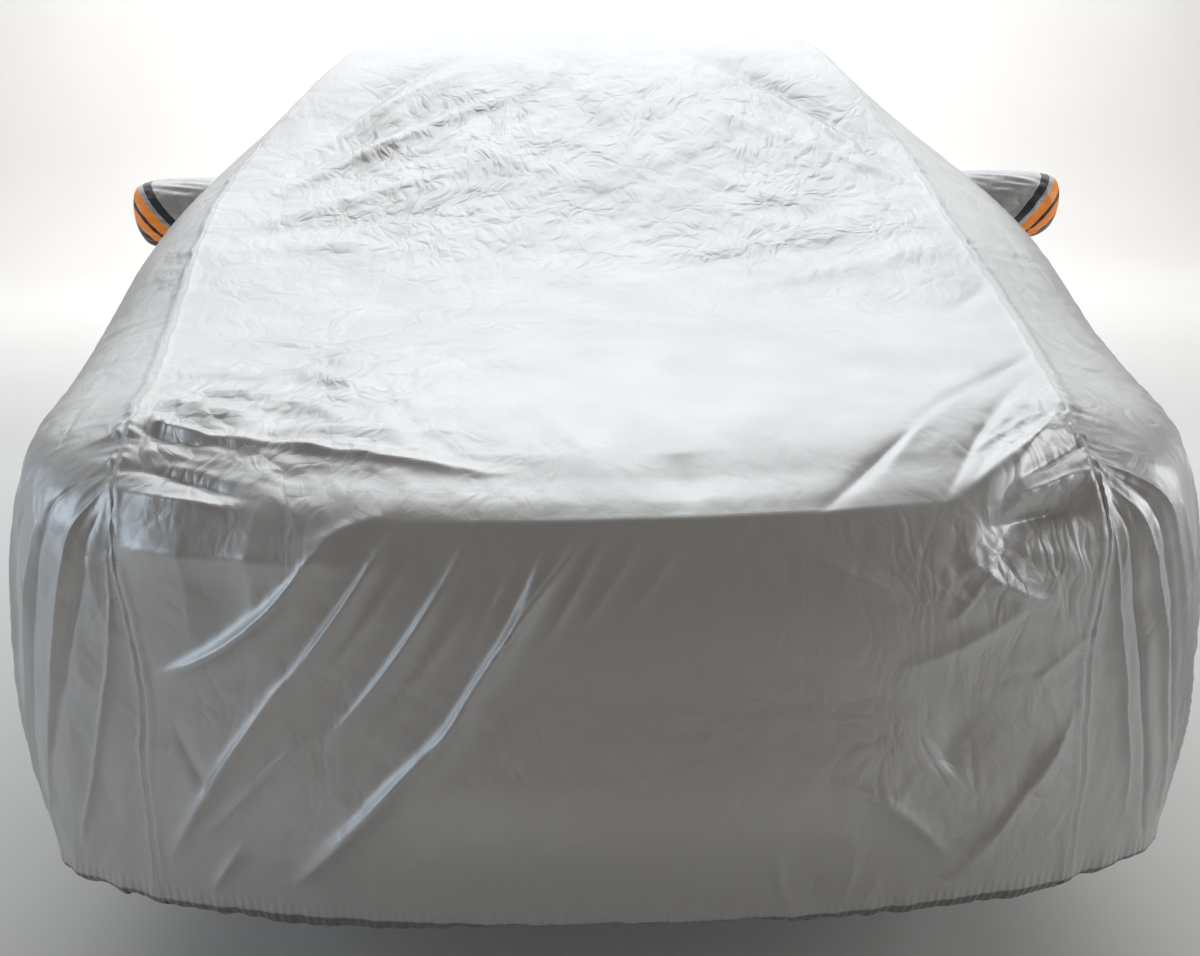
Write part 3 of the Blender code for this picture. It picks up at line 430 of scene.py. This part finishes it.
def fold_heights(x, y, folds):
    """How high the folds lift the cloth at each place."""
    height = np.zeros_like(x)
    for fold in folds:
        start, end = np.array(fold.start), np.array(fold.end)
        way = end - start
        to_right = np.array([way[1], -way[0]]) / np.linalg.norm(way)
        reach = 4 * fold.width + abs(fold.bow)
        low, high = np.minimum(start, end) - reach, np.maximum(start, end) + reach
        near = (x > low[0]) & (x < high[0]) & (y > low[1]) & (y < high[1])
        px, py = x[near], y[near]
        nearest, reached, side = np.full(px.shape, np.inf), np.zeros_like(px), np.zeros_like(px)
        for step in range(FOLD_STEPS):
            a, b = (
                start + way * s + to_right * fold.bow * 4 * s * (1 - s)
                for s in (step / FOLD_STEPS, (step + 1) / FOLD_STEPS)
            )
            d = b - a
            t = np.clip(((px - a[0]) * d[0] + (py - a[1]) * d[1]) / (d @ d), 0, 1)
            away = np.hypot(px - a[0] - t * d[0], py - a[1] - t * d[1])
            closer = away < nearest
            reached = np.where(closer, (step + t) / FOLD_STEPS, reached)
            side = np.where(closer, np.sign(d[1] * (px - a[0]) - d[0] * (py - a[1])), side)
            nearest = np.where(closer, away, nearest)
        taper = np.sin(np.pi * (FOLD_TIP + reached * (1 - 2 * FOLD_TIP))) ** 0.8
        wide = fold.width * (1 - 0.55 * fold.lean * side)
        slope = np.sqrt((nearest / wide) ** 2 + 0.03) - math.sqrt(0.03)
        height[near] += fold.height * taper * np.exp(-1.6 * slope)
    return height


def seam_work(along, away, seed):
    """The puckers that a long seam gathers: along it in metres, and at this distance from it."""
    still = 0 * along
    strength = 0.12 + 0.7 * np.clip(noise(along, still, 0.13, seed), 0, 1)
    for gather in SEAM_GATHERS:
        strength = strength + gather.gain * np.exp(-(((along - gather.along) / gather.half_long) ** 2))
    slant = along + 0.5 * away * noise(along, still, 0.09, seed + 4)
    ripples = noise(slant, still, 0.026, seed + 1) + 0.7 * noise(slant, still, 0.014, seed + 2)
    reach = 0.018 + 0.014 * noise(along, still, 0.06, seed + 3)
    rise = (1 - np.exp(-((away / 0.005) ** 2))) * np.exp(-away / reach)
    bead = 0.0010 * np.exp(-(((away - 0.007) / 0.005) ** 2))
    return 0.0065 * strength * ripples * rise + bead


def grid_normals(points):
    """The unit normal at each point of a grid, away from the car."""
    normals = np.cross(np.gradient(points, axis=1), np.gradient(points, axis=0))
    normals /= np.linalg.norm(normals, axis=2, keepdims=True)
    return normals if (normals * (points - CAR_CENTRE)).sum() > 0 else -normals


def seam_rows(shares):
    """The row of STATIONS at which the column at each share meets the long seam."""
    return np.interp(shares, np.linspace(0.0, 1.0, len(RIBS)), [rib.seam_row for rib in RIBS])


def seam_points(lengths, side):
    """Places along the left seam, at side -1, or the right one, at side 1."""
    aside, drift, behind, up = smooth_curve(STATION_LENGTHS, SEAM_PLACES, lengths).T
    flat = np.zeros_like(lengths)
    aside = (
        aside
        + SEAM_WAVER * noise(lengths, flat, SEAM_WAVER_LENGTH, 5 + side)
        + SEAM_FINE_WAVER * noise(lengths, flat, SEAM_FINE_WAVER_LENGTH, 9 + side)
    )
    return np.stack([side * aside - drift, behind, up], 1)


def middle_points(lengths, across):
    """Rows of points of the middle panel, before its folds, as (aside, behind, up)."""
    middle = smooth_curve(STATION_LENGTHS, MIDDLE_LINE, lengths)
    left, right = seam_points(lengths, -1), seam_points(lengths, 1)
    out = np.abs(across) ** CROWN_POWER
    points = np.empty((len(lengths), len(across), 3))
    points[..., 0] = np.outer(left[:, 0], (1 - across) / 2) + np.outer(right[:, 0], (1 + across) / 2)
    points[..., 1] = middle[:, :1] + np.outer(right[:, 1] - middle[:, 0], out)
    points[..., 2] = middle[:, 1:] + np.outer(right[:, 2] - middle[:, 1], out)
    return points


def side_points(shares, drops, side):
    """Ribs of points of a side panel, before its folds: one row for each drop."""
    at = np.linspace(0.0, 1.0, len(RIBS))
    places = [seam_points(length_at(seam_rows(shares)), side)]
    for name in Rib._fields[1:]:
        place = smooth_curve(at, [getattr(rib, name) for rib in RIBS], shares)
        places.append(place * (side, 1, 1) - (SIDE_DRIFT, 0, 0))
    points = np.empty((len(drops), len(shares), 3))
    for column in range(len(shares)):
        points[:, column] = smooth_curve(RIB_DROPS, [place[column] for place in places], drops)
    for end, lip, foot, share in (
        (0, length_at(FRONT_LIP), 0.0, shares),
        (-1, length_at(TAIL_LIP), STATION_LENGTHS[-1], 1 - shares),
    ):
        edge = seam_points(lip + (foot - lip) * drops, side)
        points += (edge - points[:, end])[:, None] * (np.clip(1 - share / END_BLEND, 0, 1) ** 2)[:, None]
    return points


def with_hem(points, normals, turns, seed):
    """The grid with its hem turned under beyond the last row."""
    hem, above, out = points[-1], points[-4], normals[-1]
    down = (hem - above) / np.linalg.norm(hem - above, axis=1, keepdims=True)
    place, rows = hem, [points]
    reach = np.concatenate([[0], np.cumsum(np.linalg.norm(np.diff(hem, axis=0), axis=1))])
    ribs = noise(reach, 0 * reach, 0.030, seed) + 0.7 * noise(reach, 0 * reach, 0.016, seed + 1)
    for row in range(1, HEM_ROWS + 1):
        share = row / HEM_ROWS
        turn = np.radians(turns * min(1.0, share * 2.2) + 34 * max(0.0, share - 0.75) * 4)[:, None]
        place = place + (down * np.cos(turn) - out * np.sin(turn)) * HEM_DEPTH / HEM_ROWS
        bulge = 0.0022 * math.sin(math.pi * share) * ribs[:, None]
        rows.append((place + (out * np.cos(turn) + down * np.sin(turn)) * bulge)[None])
    return np.vstack(rows)


def surface(name, points, marks, finish, node, fine_rows=None):
    """An object from a grid of points. marks are the named numbers that its material reads.

    Past fine_rows only every second column goes on, and a row of five-sided faces joins the two.
    """
    rows, columns = points.shape[:2]
    fine_rows = rows - 1 if fine_rows is None else fine_rows
    index = np.arange(rows * columns).reshape(rows, columns)
    fine, coarse = index[: fine_rows + 1], index[fine_rows + 1 :, ::2]
    faces = quads_of(fine) + (quads_of(coarse) if len(coarse) else [])
    if len(coarse):
        last, first = fine[-1], coarse[0]
        joining = [last[:-2:2], last[1:-1:2], last[2::2], first[1:], first[:-1]]
        faces += np.stack(joining, 1).tolist()
    normal = np.cross(points[1:, :-1] - points[:-1, :-1], points[:-1, 1:] - points[:-1, :-1])
    if (normal * (points[:-1, :-1] - to_model(CAR_CENTRE))).sum() > 0:
        faces = [face[::-1] for face in faces]
    return faced(name, points.reshape(-1, 3), faces, marks, finish, node, grid_uv(points))


def quads_of(index):
    """The faces of a grid of numbered points."""
    return (
        np.stack([index[:-1, :-1], index[:-1, 1:], index[1:, 1:], index[1:, :-1]], 2).reshape(-1, 4).tolist()
    )


def faced(name, vertices, faces, marks, finish, node, flat_uv, cut=None):
    """An object from points and faces, with its UV map and marks. Points without a face are left out."""
    corners = np.array([corner for face in faces for corner in face])
    used, renumbered = np.unique(corners, return_inverse=True)
    ends = np.cumsum([0] + [len(face) for face in faces])
    mesh = bpy.data.meshes.new(name)
    mesh.from_pydata(
        vertices[used].tolist(),
        [],
        [renumbered[a:b].tolist() for a, b in zip(ends[:-1], ends[1:])],
    )
    mesh.shade_smooth()
    mesh.uv_layers.new(name="OFBake").data.foreach_set("uv", flat_uv[corners].astype(np.float32).ravel())
    for mark, values in marks.items():
        attribute = mesh.attributes.new(mark, "FLOAT", "POINT")
        attribute.data.foreach_set("value", values.reshape(-1)[used].astype(np.float32))
    if cut:
        place, normal = cut
        sliced = bmesh.new()
        sliced.from_mesh(mesh)
        geometry = [*sliced.verts, *sliced.edges, *sliced.faces]
        bmesh.ops.bisect_plane(sliced, geom=geometry, plane_co=place, plane_no=normal, clear_outer=True)
        sliced.to_mesh(mesh)
        sliced.free()
    mesh.materials.append(finish)
    made = bpy.data.objects.new(name, mesh)
    bpy.context.scene.collection.objects.link(made)
    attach(made, "root")
    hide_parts(node)
    return made


def grid_uv(points):
    """A UV map over a whole grid, in its own proportions, between 0 and 1."""
    rows, columns = points.shape[:2]
    wide = np.linalg.norm(np.diff(points[rows // 2], axis=0), axis=1)
    tall = np.linalg.norm(np.diff(points[:, columns // 2], axis=0), axis=1)
    u = np.concatenate([[0], np.cumsum(wide)])
    v = np.concatenate([[0], np.cumsum(tall)])
    size = max(u[-1], v[-1]) * 1.02
    u, v = np.meshgrid(0.01 + u / size, 0.01 + v / size)
    return np.stack([u, v], -1).reshape(-1, 2)


def middle_panel(finish):
    """The middle panel, from the front hem to the rear one."""
    t = np.linspace(-1.0, 1.0, MIDDLE_COLUMNS + 1)
    across = (1 + SEAM_CROWDING) * t - SEAM_CROWDING * t**3
    places, counts = zip(*MIDDLE_ROWS)
    places = (*places[:-1], STATION_LENGTHS[-1])
    lengths = np.interp(np.arange(counts[-1] + 1), counts, places)
    base = middle_points(lengths, across)
    along = np.repeat(lengths[:, None], len(across), 1)
    aside = base[..., 0]
    outward = grid_normals(base)
    half = (base[:, -1, 0] - base[:, 0, 0])[:, None] / 2
    away = (1 - np.abs(across))[None, :] * half
    calm = 1 - np.exp(-((away / SEAM_CALM) ** 1.2))
    height = fold_heights(aside, along, MIDDLE_FOLDS)
    height += CRUMPLED_EVERYWHERE * crumple(aside, along, 0.085, 11)
    crumpled = 0.14 + 0.25 * np.exp(-(((aside - 0.42) / 0.25) ** 2)) * (along < 0.5)
    for number, patch in enumerate(CRUMPLED):
        turn = math.radians(patch.turn_deg)
        far = ((aside - patch.aside) / patch.half_wide) ** 2 + ((along - patch.along) / patch.half_long) ** 2
        near = far < 6
        x, y = aside[near], along[near]
        lengthwise = (x * math.cos(turn) + y * math.sin(turn)) / patch.stretch
        crosswise = y * math.cos(turn) - x * math.sin(turn)
        creased = crumple(lengthwise, crosswise, patch.size, 100 + 10 * number)
        height[near] += patch.height * np.exp(-far[near]) * creased
        crumpled[near] += patch.height / 0.005 * np.exp(-far[near])
    height *= calm
    seed = np.where(across < 0, 0, 1)
    for column_side, value in ((0, 21), (1, 31)):
        columns = seed == column_side
        height[:, columns] += seam_work(along[:, columns], away[:, columns], value)
    for hem_from in (along, STATION_LENGTHS[-1] - along):
        height += (
            HEM_GATHER_HEIGHT
            * np.exp(-hem_from / HEM_GATHER_REACH)
            * noise(aside, 0 * aside, HEM_GATHER_SIZE, 61)
        )
    points = base + outward * height[..., None]
    folded = grid_normals(points)
    turns = np.interp(points[0, :, 0], *zip(*HEM_TURNS))
    points = with_hem(points[::-1], folded[::-1], turns, 71)[::-1]
    points = with_hem(points, folded, np.full(len(across), 40.0), 72)

    def padded(values):
        return np.vstack([np.repeat(values[:1], HEM_ROWS, 0), values, np.repeat(values[-1:], HEM_ROWS, 0)])

    hem_away = np.minimum(along, STATION_LENGTHS[-1] - along)
    # The casing rows, which the material darkens as painted shade.
    casing = np.zeros(points.shape[:2])
    casing[:HEM_ROWS], casing[-HEM_ROWS:] = 1.0, 1.0
    marks = {
        "seam_away": padded(away),
        "seam_run": padded(along),
        "hem_away": padded(hem_away),
        "hem_run": padded(aside),
        "casing": casing,
        "crumpled": padded(crumpled),
        "band": np.full(points.shape[:2], -1.0),
    }
    points = to_model(points)
    return surface(
        "middle_cloth", points, marks, finish, "middle_panel", FINE_ROWS + HEM_ROWS
    )


def side_panel(side, folds, finish):
    """The left side panel, at side -1, or the right one, at side 1."""
    label = "left" if side < 0 else "right"
    shares = np.linspace(0.0, 1.0, SIDE_COLUMNS + 1) ** SIDE_CROWDING
    t = np.linspace(0.0, 1.0, SIDE_ROWS + 1)
    drops = 0.30 * t + 0.70 * t**2
    base = side_points(shares, drops, side)
    outward = grid_normals(base)
    share, drop = np.meshgrid(shares, drops)
    deep = np.concatenate(
        [np.zeros((1, len(shares))), np.cumsum(np.linalg.norm(np.diff(base, axis=0), axis=2), 0)]
    )
    run = np.concatenate([[0], np.cumsum(np.linalg.norm(np.diff(base[SIDE_ROWS // 2], axis=0), axis=1))])
    run = np.repeat(run[None], len(drops), 0)
    long_seam = np.repeat(length_at(seam_rows(shares))[None], len(drops), 0)
    front = run.copy()
    rear = run[:, -1:] - run
    weighed = [
        f._replace(start=(f.start[0], f.start[1] * PANEL_DEPTH), end=(f.end[0], f.end[1] * PANEL_DEPTH))
        for f in folds
    ]
    height = fold_heights(share, drop * PANEL_DEPTH, weighed)
    height += (0.0012 + 0.0014 * np.exp(-share / 0.2)) * crumple(run, 0.6 * deep, 0.075, 41 + side)
    calm = 1
    for away in (deep, front, rear):
        calm = calm * (1 - np.exp(-((away / SEAM_CALM) ** 1.2)))
    height *= calm
    seed = 21 if side < 0 else 31
    height += seam_work(long_seam, deep, seed)
    lip = length_at(FRONT_LIP)
    height += seam_work(lip * (1 - drop), front, seed) * np.clip(deep / 0.02, 0, 1)
    height += seam_work(length_at(TAIL_LIP) + drop * 0.6, rear, seed) * np.clip(deep / 0.02, 0, 1)
    hem_away = deep[-1:] - deep
    height += (
        SIDE_GATHER_HEIGHT
        * np.exp(-hem_away / SIDE_GATHER_REACH)
        * noise(run, 0 * run, SIDE_GATHER_SIZE, 62)
    )
    points = base + outward * height[..., None]
    points = with_hem(points, grid_normals(points), np.full(len(shares), 40.0), 73 + side)

    def padded(values):
        return np.vstack([values, np.repeat(values[-1:], HEM_ROWS, 0)])

    nearest = np.minimum(np.minimum(deep, front), rear)
    seam_run = np.where(deep <= np.minimum(front, rear), long_seam, deep)
    # The casing rows, which the material darkens as painted shade.
    casing = np.zeros(points.shape[:2])
    casing[-HEM_ROWS:] = 1.0
    marks = {
        "seam_away": padded(nearest),
        "seam_run": padded(seam_run),
        "hem_away": padded(hem_away),
        "hem_run": padded(run),
        "casing": casing,
        "crumpled": np.full(points.shape[:2], 0.35),
        "band": np.full(points.shape[:2], -1.0),
    }
    return surface(
        f"side_cloth_{label}", to_model(points), marks, finish, f"side_panel_{label}"
    )


def pocket(side, panel, silver, striped):
    """A mirror pocket and its striped end."""
    label = "left" if side < 0 else "right"
    bpy.context.view_layer.update()
    angle = np.linspace(0, 2 * math.pi, POCKET_AROUND, endpoint=False)
    mouth = []
    for a in angle:
        behind = POCKET_BEHIND + POCKET_HALF_DEPTH * math.cos(a)
        up = POCKET_TOP - POCKET_HALF_HEIGHT + POCKET_HALF_HEIGHT * math.sin(a)
        start = Vector(to_model((side * RAY_START, behind, up)))
        found, hit, _, _ = panel.ray_cast(start, Vector((-side, 0, 0)))
        mouth.append((hit.x if found else side * 0.88, start.y, start.z))
    mouth = np.array(mouth)
    centre = to_model((0, POCKET_BEHIND, POCKET_TOP - POCKET_NOSE_DROP))
    rings = []
    for ring in range(POCKET_RINGS + 1):
        way = math.sin(0.5 * math.pi * ring / POCKET_RINGS)
        size = max(1 - way**POCKET_ROUNDING, 0.0) ** (1 / POCKET_ROUNDING)
        points = mouth.copy()
        points[:, 0] += (to_model((side * POCKET_TIP_ASIDE, 0, 0))[0] - mouth[:, 0]) * way
        points[:, 1] = centre[1] + (mouth[:, 1] - centre[1]) * size
        points[:, 2] = centre[2] + (mouth[:, 2] - centre[2]) * size
        x = np.cos(angle) * 0.08 * size
        pleats = noise(np.sin(angle) * 0.08 + 3.0, 0.25 * points[:, 0] + x, PLEAT_SIZE, 81 + side)
        flare = PLEAT_HEIGHT * math.sin(math.pi * min(1.0, way * 1.15)) ** 0.5 * pleats
        radial = np.stack([0 * angle, np.cos(angle), np.sin(angle)], 1)
        rings.append(points + radial * flare[:, None])
    grid = np.array(rings)
    grid[0, :, 0] -= side * POCKET_TUCK
    slope = math.radians(STRIPE_EDGE_SLOPE_DEG)
    normal = np.array([side * math.sin(slope), 0.0, -math.cos(slope)])
    edge = to_model((side * STRIPE_EDGE_ASIDE, POCKET_BEHIND, STRIPE_EDGE_UP))
    band = (grid - edge) @ normal
    count = POCKET_AROUND
    index = np.arange((POCKET_RINGS + 1) * count).reshape(POCKET_RINGS + 1, count)
    faces = np.array(quads_of(np.hstack([index, index[:, :1]])))
    if side < 0:
        faces = faces[:, ::-1]
    turn, ring = np.meshgrid(np.arange(count) * 2 * math.pi / count, np.linspace(0, 1, POCKET_RINGS + 1))
    flat_uv = 0.5 + (0.47 - 0.42 * ring)[..., None] * np.stack([np.cos(turn), np.sin(turn)], -1)
    marks = {
        "band": band,
        "seam_away": np.abs(band),
        "seam_run": grid[..., 1],
        "hem_away": np.ones_like(band),
        "hem_run": np.zeros_like(band),
        "casing": np.zeros_like(band),
        "crumpled": np.full_like(band, 0.5),
    }
    return [
        faced(
            f"{kind}_{label}",
            grid.reshape(-1, 3),
            faces.tolist(),
            marks,
            finish,
            node + label,
            flat_uv.reshape(-1, 2),
            (edge, normal * way),
        )
        for kind, way, finish, slot, node in (
            ("pocket_cloth", 1, silver, "silver_cloth", "mirror_pocket_"),
            ("striped_cloth", -1, striped, "striped_cloth", "striped_end_"),
        )
    ]


class Nodes:
    """A material's node tree, with short ways to add the nodes used here."""

    def __init__(self, name):
        self.material = bpy.data.materials.new(name)
        self.material.use_nodes = True
        self.tree = self.material.node_tree
        self.shader = self.tree.nodes["Principled BSDF"]

    def add(self, kind, values=(), **settings):
        node = self.tree.nodes.new(kind)
        for name, value in settings.items():
            setattr(node, name, value)
        for socket, value in dict(values).items():
            self.set(node.inputs[socket], value)
        return node

    def set(self, socket, value):
        if isinstance(value, bpy.types.NodeSocket):
            self.tree.links.new(value, socket)
        else:
            socket.default_value = value

    def math(self, operation, a, b=0.0, clamp=False):
        return self.add("ShaderNodeMath", {0: a, 1: b}, operation=operation, use_clamp=clamp).outputs[0]

    def mark(self, name):
        return self.add("ShaderNodeAttribute", attribute_name=name).outputs["Fac"]

    def place(self):
        return self.add("ShaderNodeTexCoord").outputs["Object"]

    def noise(self, scale, detail=2.0):
        node = self.add("ShaderNodeTexNoise", {"Vector": self.place(), "Scale": scale, "Detail": detail})
        return node.outputs["Fac"]

    def wave(self, scale, direction):
        values = {"Vector": self.place(), "Scale": scale}
        return self.add("ShaderNodeTexWave", values, bands_direction=direction).outputs["Fac"]

    def mix(self, share, a, b):
        node = self.add("ShaderNodeMix", data_type="RGBA")
        self.set(node.inputs[0], share)
        self.set(node.inputs[6], a)
        self.set(node.inputs[7], b)
        return node.outputs[2]

    def bump(self, height, distance, strength=1.0, normal=None):
        node = self.add("ShaderNodeBump", {"Height": height, "Distance": distance, "Strength": strength})
        if normal is not None:
            self.set(node.inputs["Normal"], normal)
        return node.outputs["Normal"]

    def near(self, value, middle, half):
        """1 where value is within half of middle, and 0 elsewhere."""
        return self.math("LESS_THAN", self.math("ABSOLUTE", self.math("SUBTRACT", value, middle)), half)


def stitches(nodes):
    """1 on the thread of the two rows of stitches beside a seam, and 0 elsewhere."""
    run = nodes.math("FRACT", nodes.math("DIVIDE", nodes.mark("seam_run"), 0.0055))
    return nodes.math(
        "MULTIPLY", nodes.near(nodes.mark("seam_away"), 0.0060, 0.0006), nodes.near(run, 0.5, 0.30)
    )


def cloth_relief(nodes):
    """The normals of small crumple, seam stitches, the shirred casing and the weave."""
    bent = nodes.add(
        "ShaderNodeTexNoise", {"Vector": nodes.place(), "Scale": 6.0, "Detail": 2.0}
    ).outputs["Color"]
    drawn = nodes.add("ShaderNodeVectorMath", {0: nodes.place(), 1: (1.0, 0.42, 0.42)}, operation="MULTIPLY")
    place = nodes.mix(0.14, drawn.outputs[0], bent)
    strength = nodes.mark("crumpled")
    normal = None
    for scale, distance in ((24.0, 0.0060), (52.0, 0.0026)):
        cells = nodes.add(
            "ShaderNodeTexVoronoi", {"Vector": place, "Scale": scale}, feature="DISTANCE_TO_EDGE"
        ).outputs["Distance"]
        facets = nodes.math("MULTIPLY", nodes.math("MINIMUM", cells, 0.3), strength)
        normal = nodes.bump(facets, distance, 1.0, normal)
    normal = nodes.bump(nodes.noise(34.0, 3.0), 0.0012, 0.35, normal)
    ribs = nodes.math("SINE", nodes.math("MULTIPLY", nodes.mark("hem_run"), 2 * math.pi / 0.0105))
    at_hem = nodes.math("SUBTRACT", 1.0, nodes.math("MULTIPLY", nodes.mark("hem_away"), 40.0), clamp=True)
    normal = nodes.bump(nodes.math("MULTIPLY", ribs, at_hem), 0.0012, 0.8, normal)
    normal = nodes.bump(nodes.math("MULTIPLY", stitches(nodes), -1.0), 0.0009, 0.8, normal)
    weave = nodes.math("ADD", nodes.wave(230.0, "X"), nodes.wave(230.0, "Z"))
    return nodes.bump(weave, 0.0001, 0.35, normal)


def silver_cloth():
    """Polyester taffeta with a silver coating: a dull metallic sheen, darker towards the hem, and painted
    shade on the turned-under casing.
    """
    nodes = Nodes("silver_taffeta")
    tone = nodes.noise(2.3, 3.0)
    colour = nodes.mix(tone, (*(c * 0.93 for c in SILVER), 1.0), (*(c * 1.07 for c in SILVER), 1.0))
    # Darker and browner towards the hem, over its last 0.35 m, in noisy patches.
    darker_to_hem = nodes.math("MULTIPLY", nodes.math("SUBTRACT", 0.35, nodes.mark("hem_away"), clamp=True), 0.75)
    darker_to_hem = nodes.math("MULTIPLY", darker_to_hem, nodes.noise(7.0, 4.0))
    colour = nodes.mix(darker_to_hem, colour, (0.33, 0.29, 0.25, 1.0))
    colour = nodes.mix(nodes.math("MULTIPLY", stitches(nodes), 0.40), colour, (0.16, 0.16, 0.17, 1.0))
    # A dark grey band on the silver pocket, 9 to 25 mm from the striped end.
    dark_band = nodes.near(nodes.mark("band"), -0.0170, 0.0080)
    colour = nodes.mix(dark_band, colour, (0.075, 0.080, 0.090, 1.0))
    # Painted shade: the turned-under casing is darkened, as it lies in shade under the hem.
    colour = nodes.mix(nodes.math("MULTIPLY", nodes.mark("casing"), 0.75), colour, (0.13, 0.125, 0.12, 1.0))
    shader = nodes.shader.inputs
    nodes.set(shader["Base Color"], colour)
    shader["Metallic"].default_value = 0.62
    nodes.set(shader["Roughness"], nodes.math("MULTIPLY_ADD", nodes.noise(9.0, 3.0), 0.16))
    shader["Roughness"].links[0].from_node.inputs[2].default_value = 0.38
    shader["Sheen Weight"].default_value = 0.12
    shader["Sheen Roughness"].default_value = 0.4
    nodes.set(shader["Normal"], cloth_relief(nodes))
    return nodes.material


def striped_cloth():
    """Orange reflective cloth with dark stripes, along the mirror pocket's end; the orange stripes carry a
    painted glow.
    """
    nodes = Nodes("striped_painted_glow")
    band = nodes.mark("band")
    orange = nodes.math("MAXIMUM", nodes.near(band, 0.0095, 0.0095), nodes.near(band, 0.0350, 0.0085))
    tone = nodes.mix(nodes.noise(30.0, 3.0), (*(c * 0.85 for c in ORANGE), 1.0), (*ORANGE, 1.0))
    colour = nodes.mix(orange, (*STRIPE_GREY, 1.0), tone)
    shader = nodes.shader.inputs
    nodes.set(shader["Base Color"], colour)
    # Painted glow: the orange stripes emit light in their own colour, though the cloth is no lamp.
    nodes.set(shader["Emission Color"], colour)
    nodes.set(shader["Emission Strength"], nodes.math("MULTIPLY", orange, 0.22))
    shader["Roughness"].default_value = 0.42
    shader["Sheen Weight"].default_value = 0.2
    weave = nodes.math("ADD", nodes.wave(230.0, "Y"), nodes.wave(230.0, "Z"))
    normal = nodes.bump(nodes.noise(70.0, 3.0), 0.0012, 0.5)
    nodes.set(shader["Normal"], nodes.bump(weave, 0.0001, 0.4, normal))
    return nodes.material


def floor_finish():
    """A plain pale floor."""
    nodes = Nodes("pale_floor")
    colour = nodes.mix(nodes.noise(1.2, 3.0), (0.78, 0.775, 0.765, 1.0), (0.83, 0.825, 0.815, 1.0))
    nodes.set(nodes.shader.inputs["Base Color"], colour)
    nodes.shader.inputs["Roughness"].default_value = 0.75
    return nodes.material


def studio():
    """A pale floor that curves up behind, soft light from above, and weak light from both sides."""
    sweep = [(-9.0, 0.0)] + [
        (6.0 + 2.5 * math.sin(a), 2.5 - 2.5 * math.cos(a)) for a in np.linspace(0, math.pi / 2, 13)
    ]
    sweep.append((8.5, 9.0))
    rows = [[(x, y, z - ROOF_REST_HEIGHT) for x in (-14.0, 14.0)] for y, z in sweep]
    mesh = bpy.data.meshes.new("floor")
    faces = [(2 * i, 2 * i + 1, 2 * i + 3, 2 * i + 2) for i in range(len(rows) - 1)]
    mesh.from_pydata([p for row in rows for p in row], [], faces)
    mesh.shade_smooth()
    mesh.materials.append(floor_finish())
    floor = bpy.data.objects.new("floor", mesh)
    bpy.context.scene.collection.objects.link(floor)
    Lamp = namedtuple("Lamp", "name place target wide tall watts colour")
    for lamp in (
        Lamp("sky", (0.0, 3.0, 3.6), (0.0, -0.6, -0.7), 12.0, 4.5, 285.0, (0.93, 0.97, 1.0)),
        Lamp("overhead", (0.0, 0.6, 2.8), (0.0, 0.6, 0.0), 3.0, 3.0, 28.0, (0.97, 0.99, 1.0)),
        Lamp("left", (-5.5, -2.0, 0.8), (0.0, -1.6, -0.9), 2.5, 2.5, 55.0, (0.72, 0.86, 1.0)),
        Lamp("right", (5.5, -1.8, 1.0), (0.0, -1.6, -0.9), 2.5, 2.5, 75.0, (0.95, 0.98, 1.0)),
        Lamp("backdrop", (0.0, 4.8, 3.6), (0.0, 9.0, 0.6), 12.0, 2.0, 480.0, (1.0, 1.0, 1.0)),
    ):
        data = bpy.data.lights.new(lamp.name, "AREA")
        data.shape = "RECTANGLE"
        data.size, data.size_y, data.energy, data.color = lamp.wide, lamp.tall, lamp.watts, lamp.colour
        made = bpy.data.objects.new(lamp.name, data)
        way = Vector(lamp.target) - Vector(lamp.place)
        made.matrix_world = Matrix.Translation(lamp.place) @ way.to_track_quat("-Z", "Y").to_matrix().to_4x4()
        bpy.context.scene.collection.objects.link(made)
    world = bpy.data.worlds.new("studio")
    world.use_nodes = True
    world.node_tree.nodes["Background"].inputs["Color"].default_value = (0.190, 0.174, 0.158, 1.0)
    bpy.context.scene.world = world
    bpy.context.scene.view_settings.view_transform = "Standard"


def add_camera():
    """The camera, a little left of the middle and 1.3 m above the ground."""
    yaw, pitch, roll = (math.radians(a) for a in (1.15, 16.36, -0.51))
    forward = Vector((math.sin(yaw) * math.cos(pitch), math.cos(yaw) * math.cos(pitch), -math.sin(pitch)))
    right = Vector((math.cos(yaw), -math.sin(yaw), 0.0))
    up = right.cross(forward)
    rolled_right = right * math.cos(roll) + up * math.sin(roll)
    rolled_up = up * math.cos(roll) - right * math.sin(roll)
    data = bpy.data.cameras.new("camera")
    data.lens, data.sensor_width = 39.0, 36.0
    camera = bpy.data.objects.new("camera", data)
    turn = Matrix((rolled_right, rolled_up, -forward)).transposed().to_4x4()
    camera.matrix_world = Matrix.Translation((-0.06, -3.96, -0.168)) @ turn
    bpy.context.scene.collection.objects.link(camera)
    bpy.context.scene.camera = camera


silver, striped = silver_cloth(), striped_cloth()
middle = middle_panel(silver)
left = side_panel(-1, LEFT_FOLDS, silver)
right = side_panel(1, RIGHT_FOLDS, silver)
left_pocket, left_stripes = pocket(-1, left, silver, striped)
right_pocket, right_stripes = pocket(1, right, silver, striped)

Cut = namedtuple("Cut", "piece wide long area held rests_on")

studio()
add_camera()
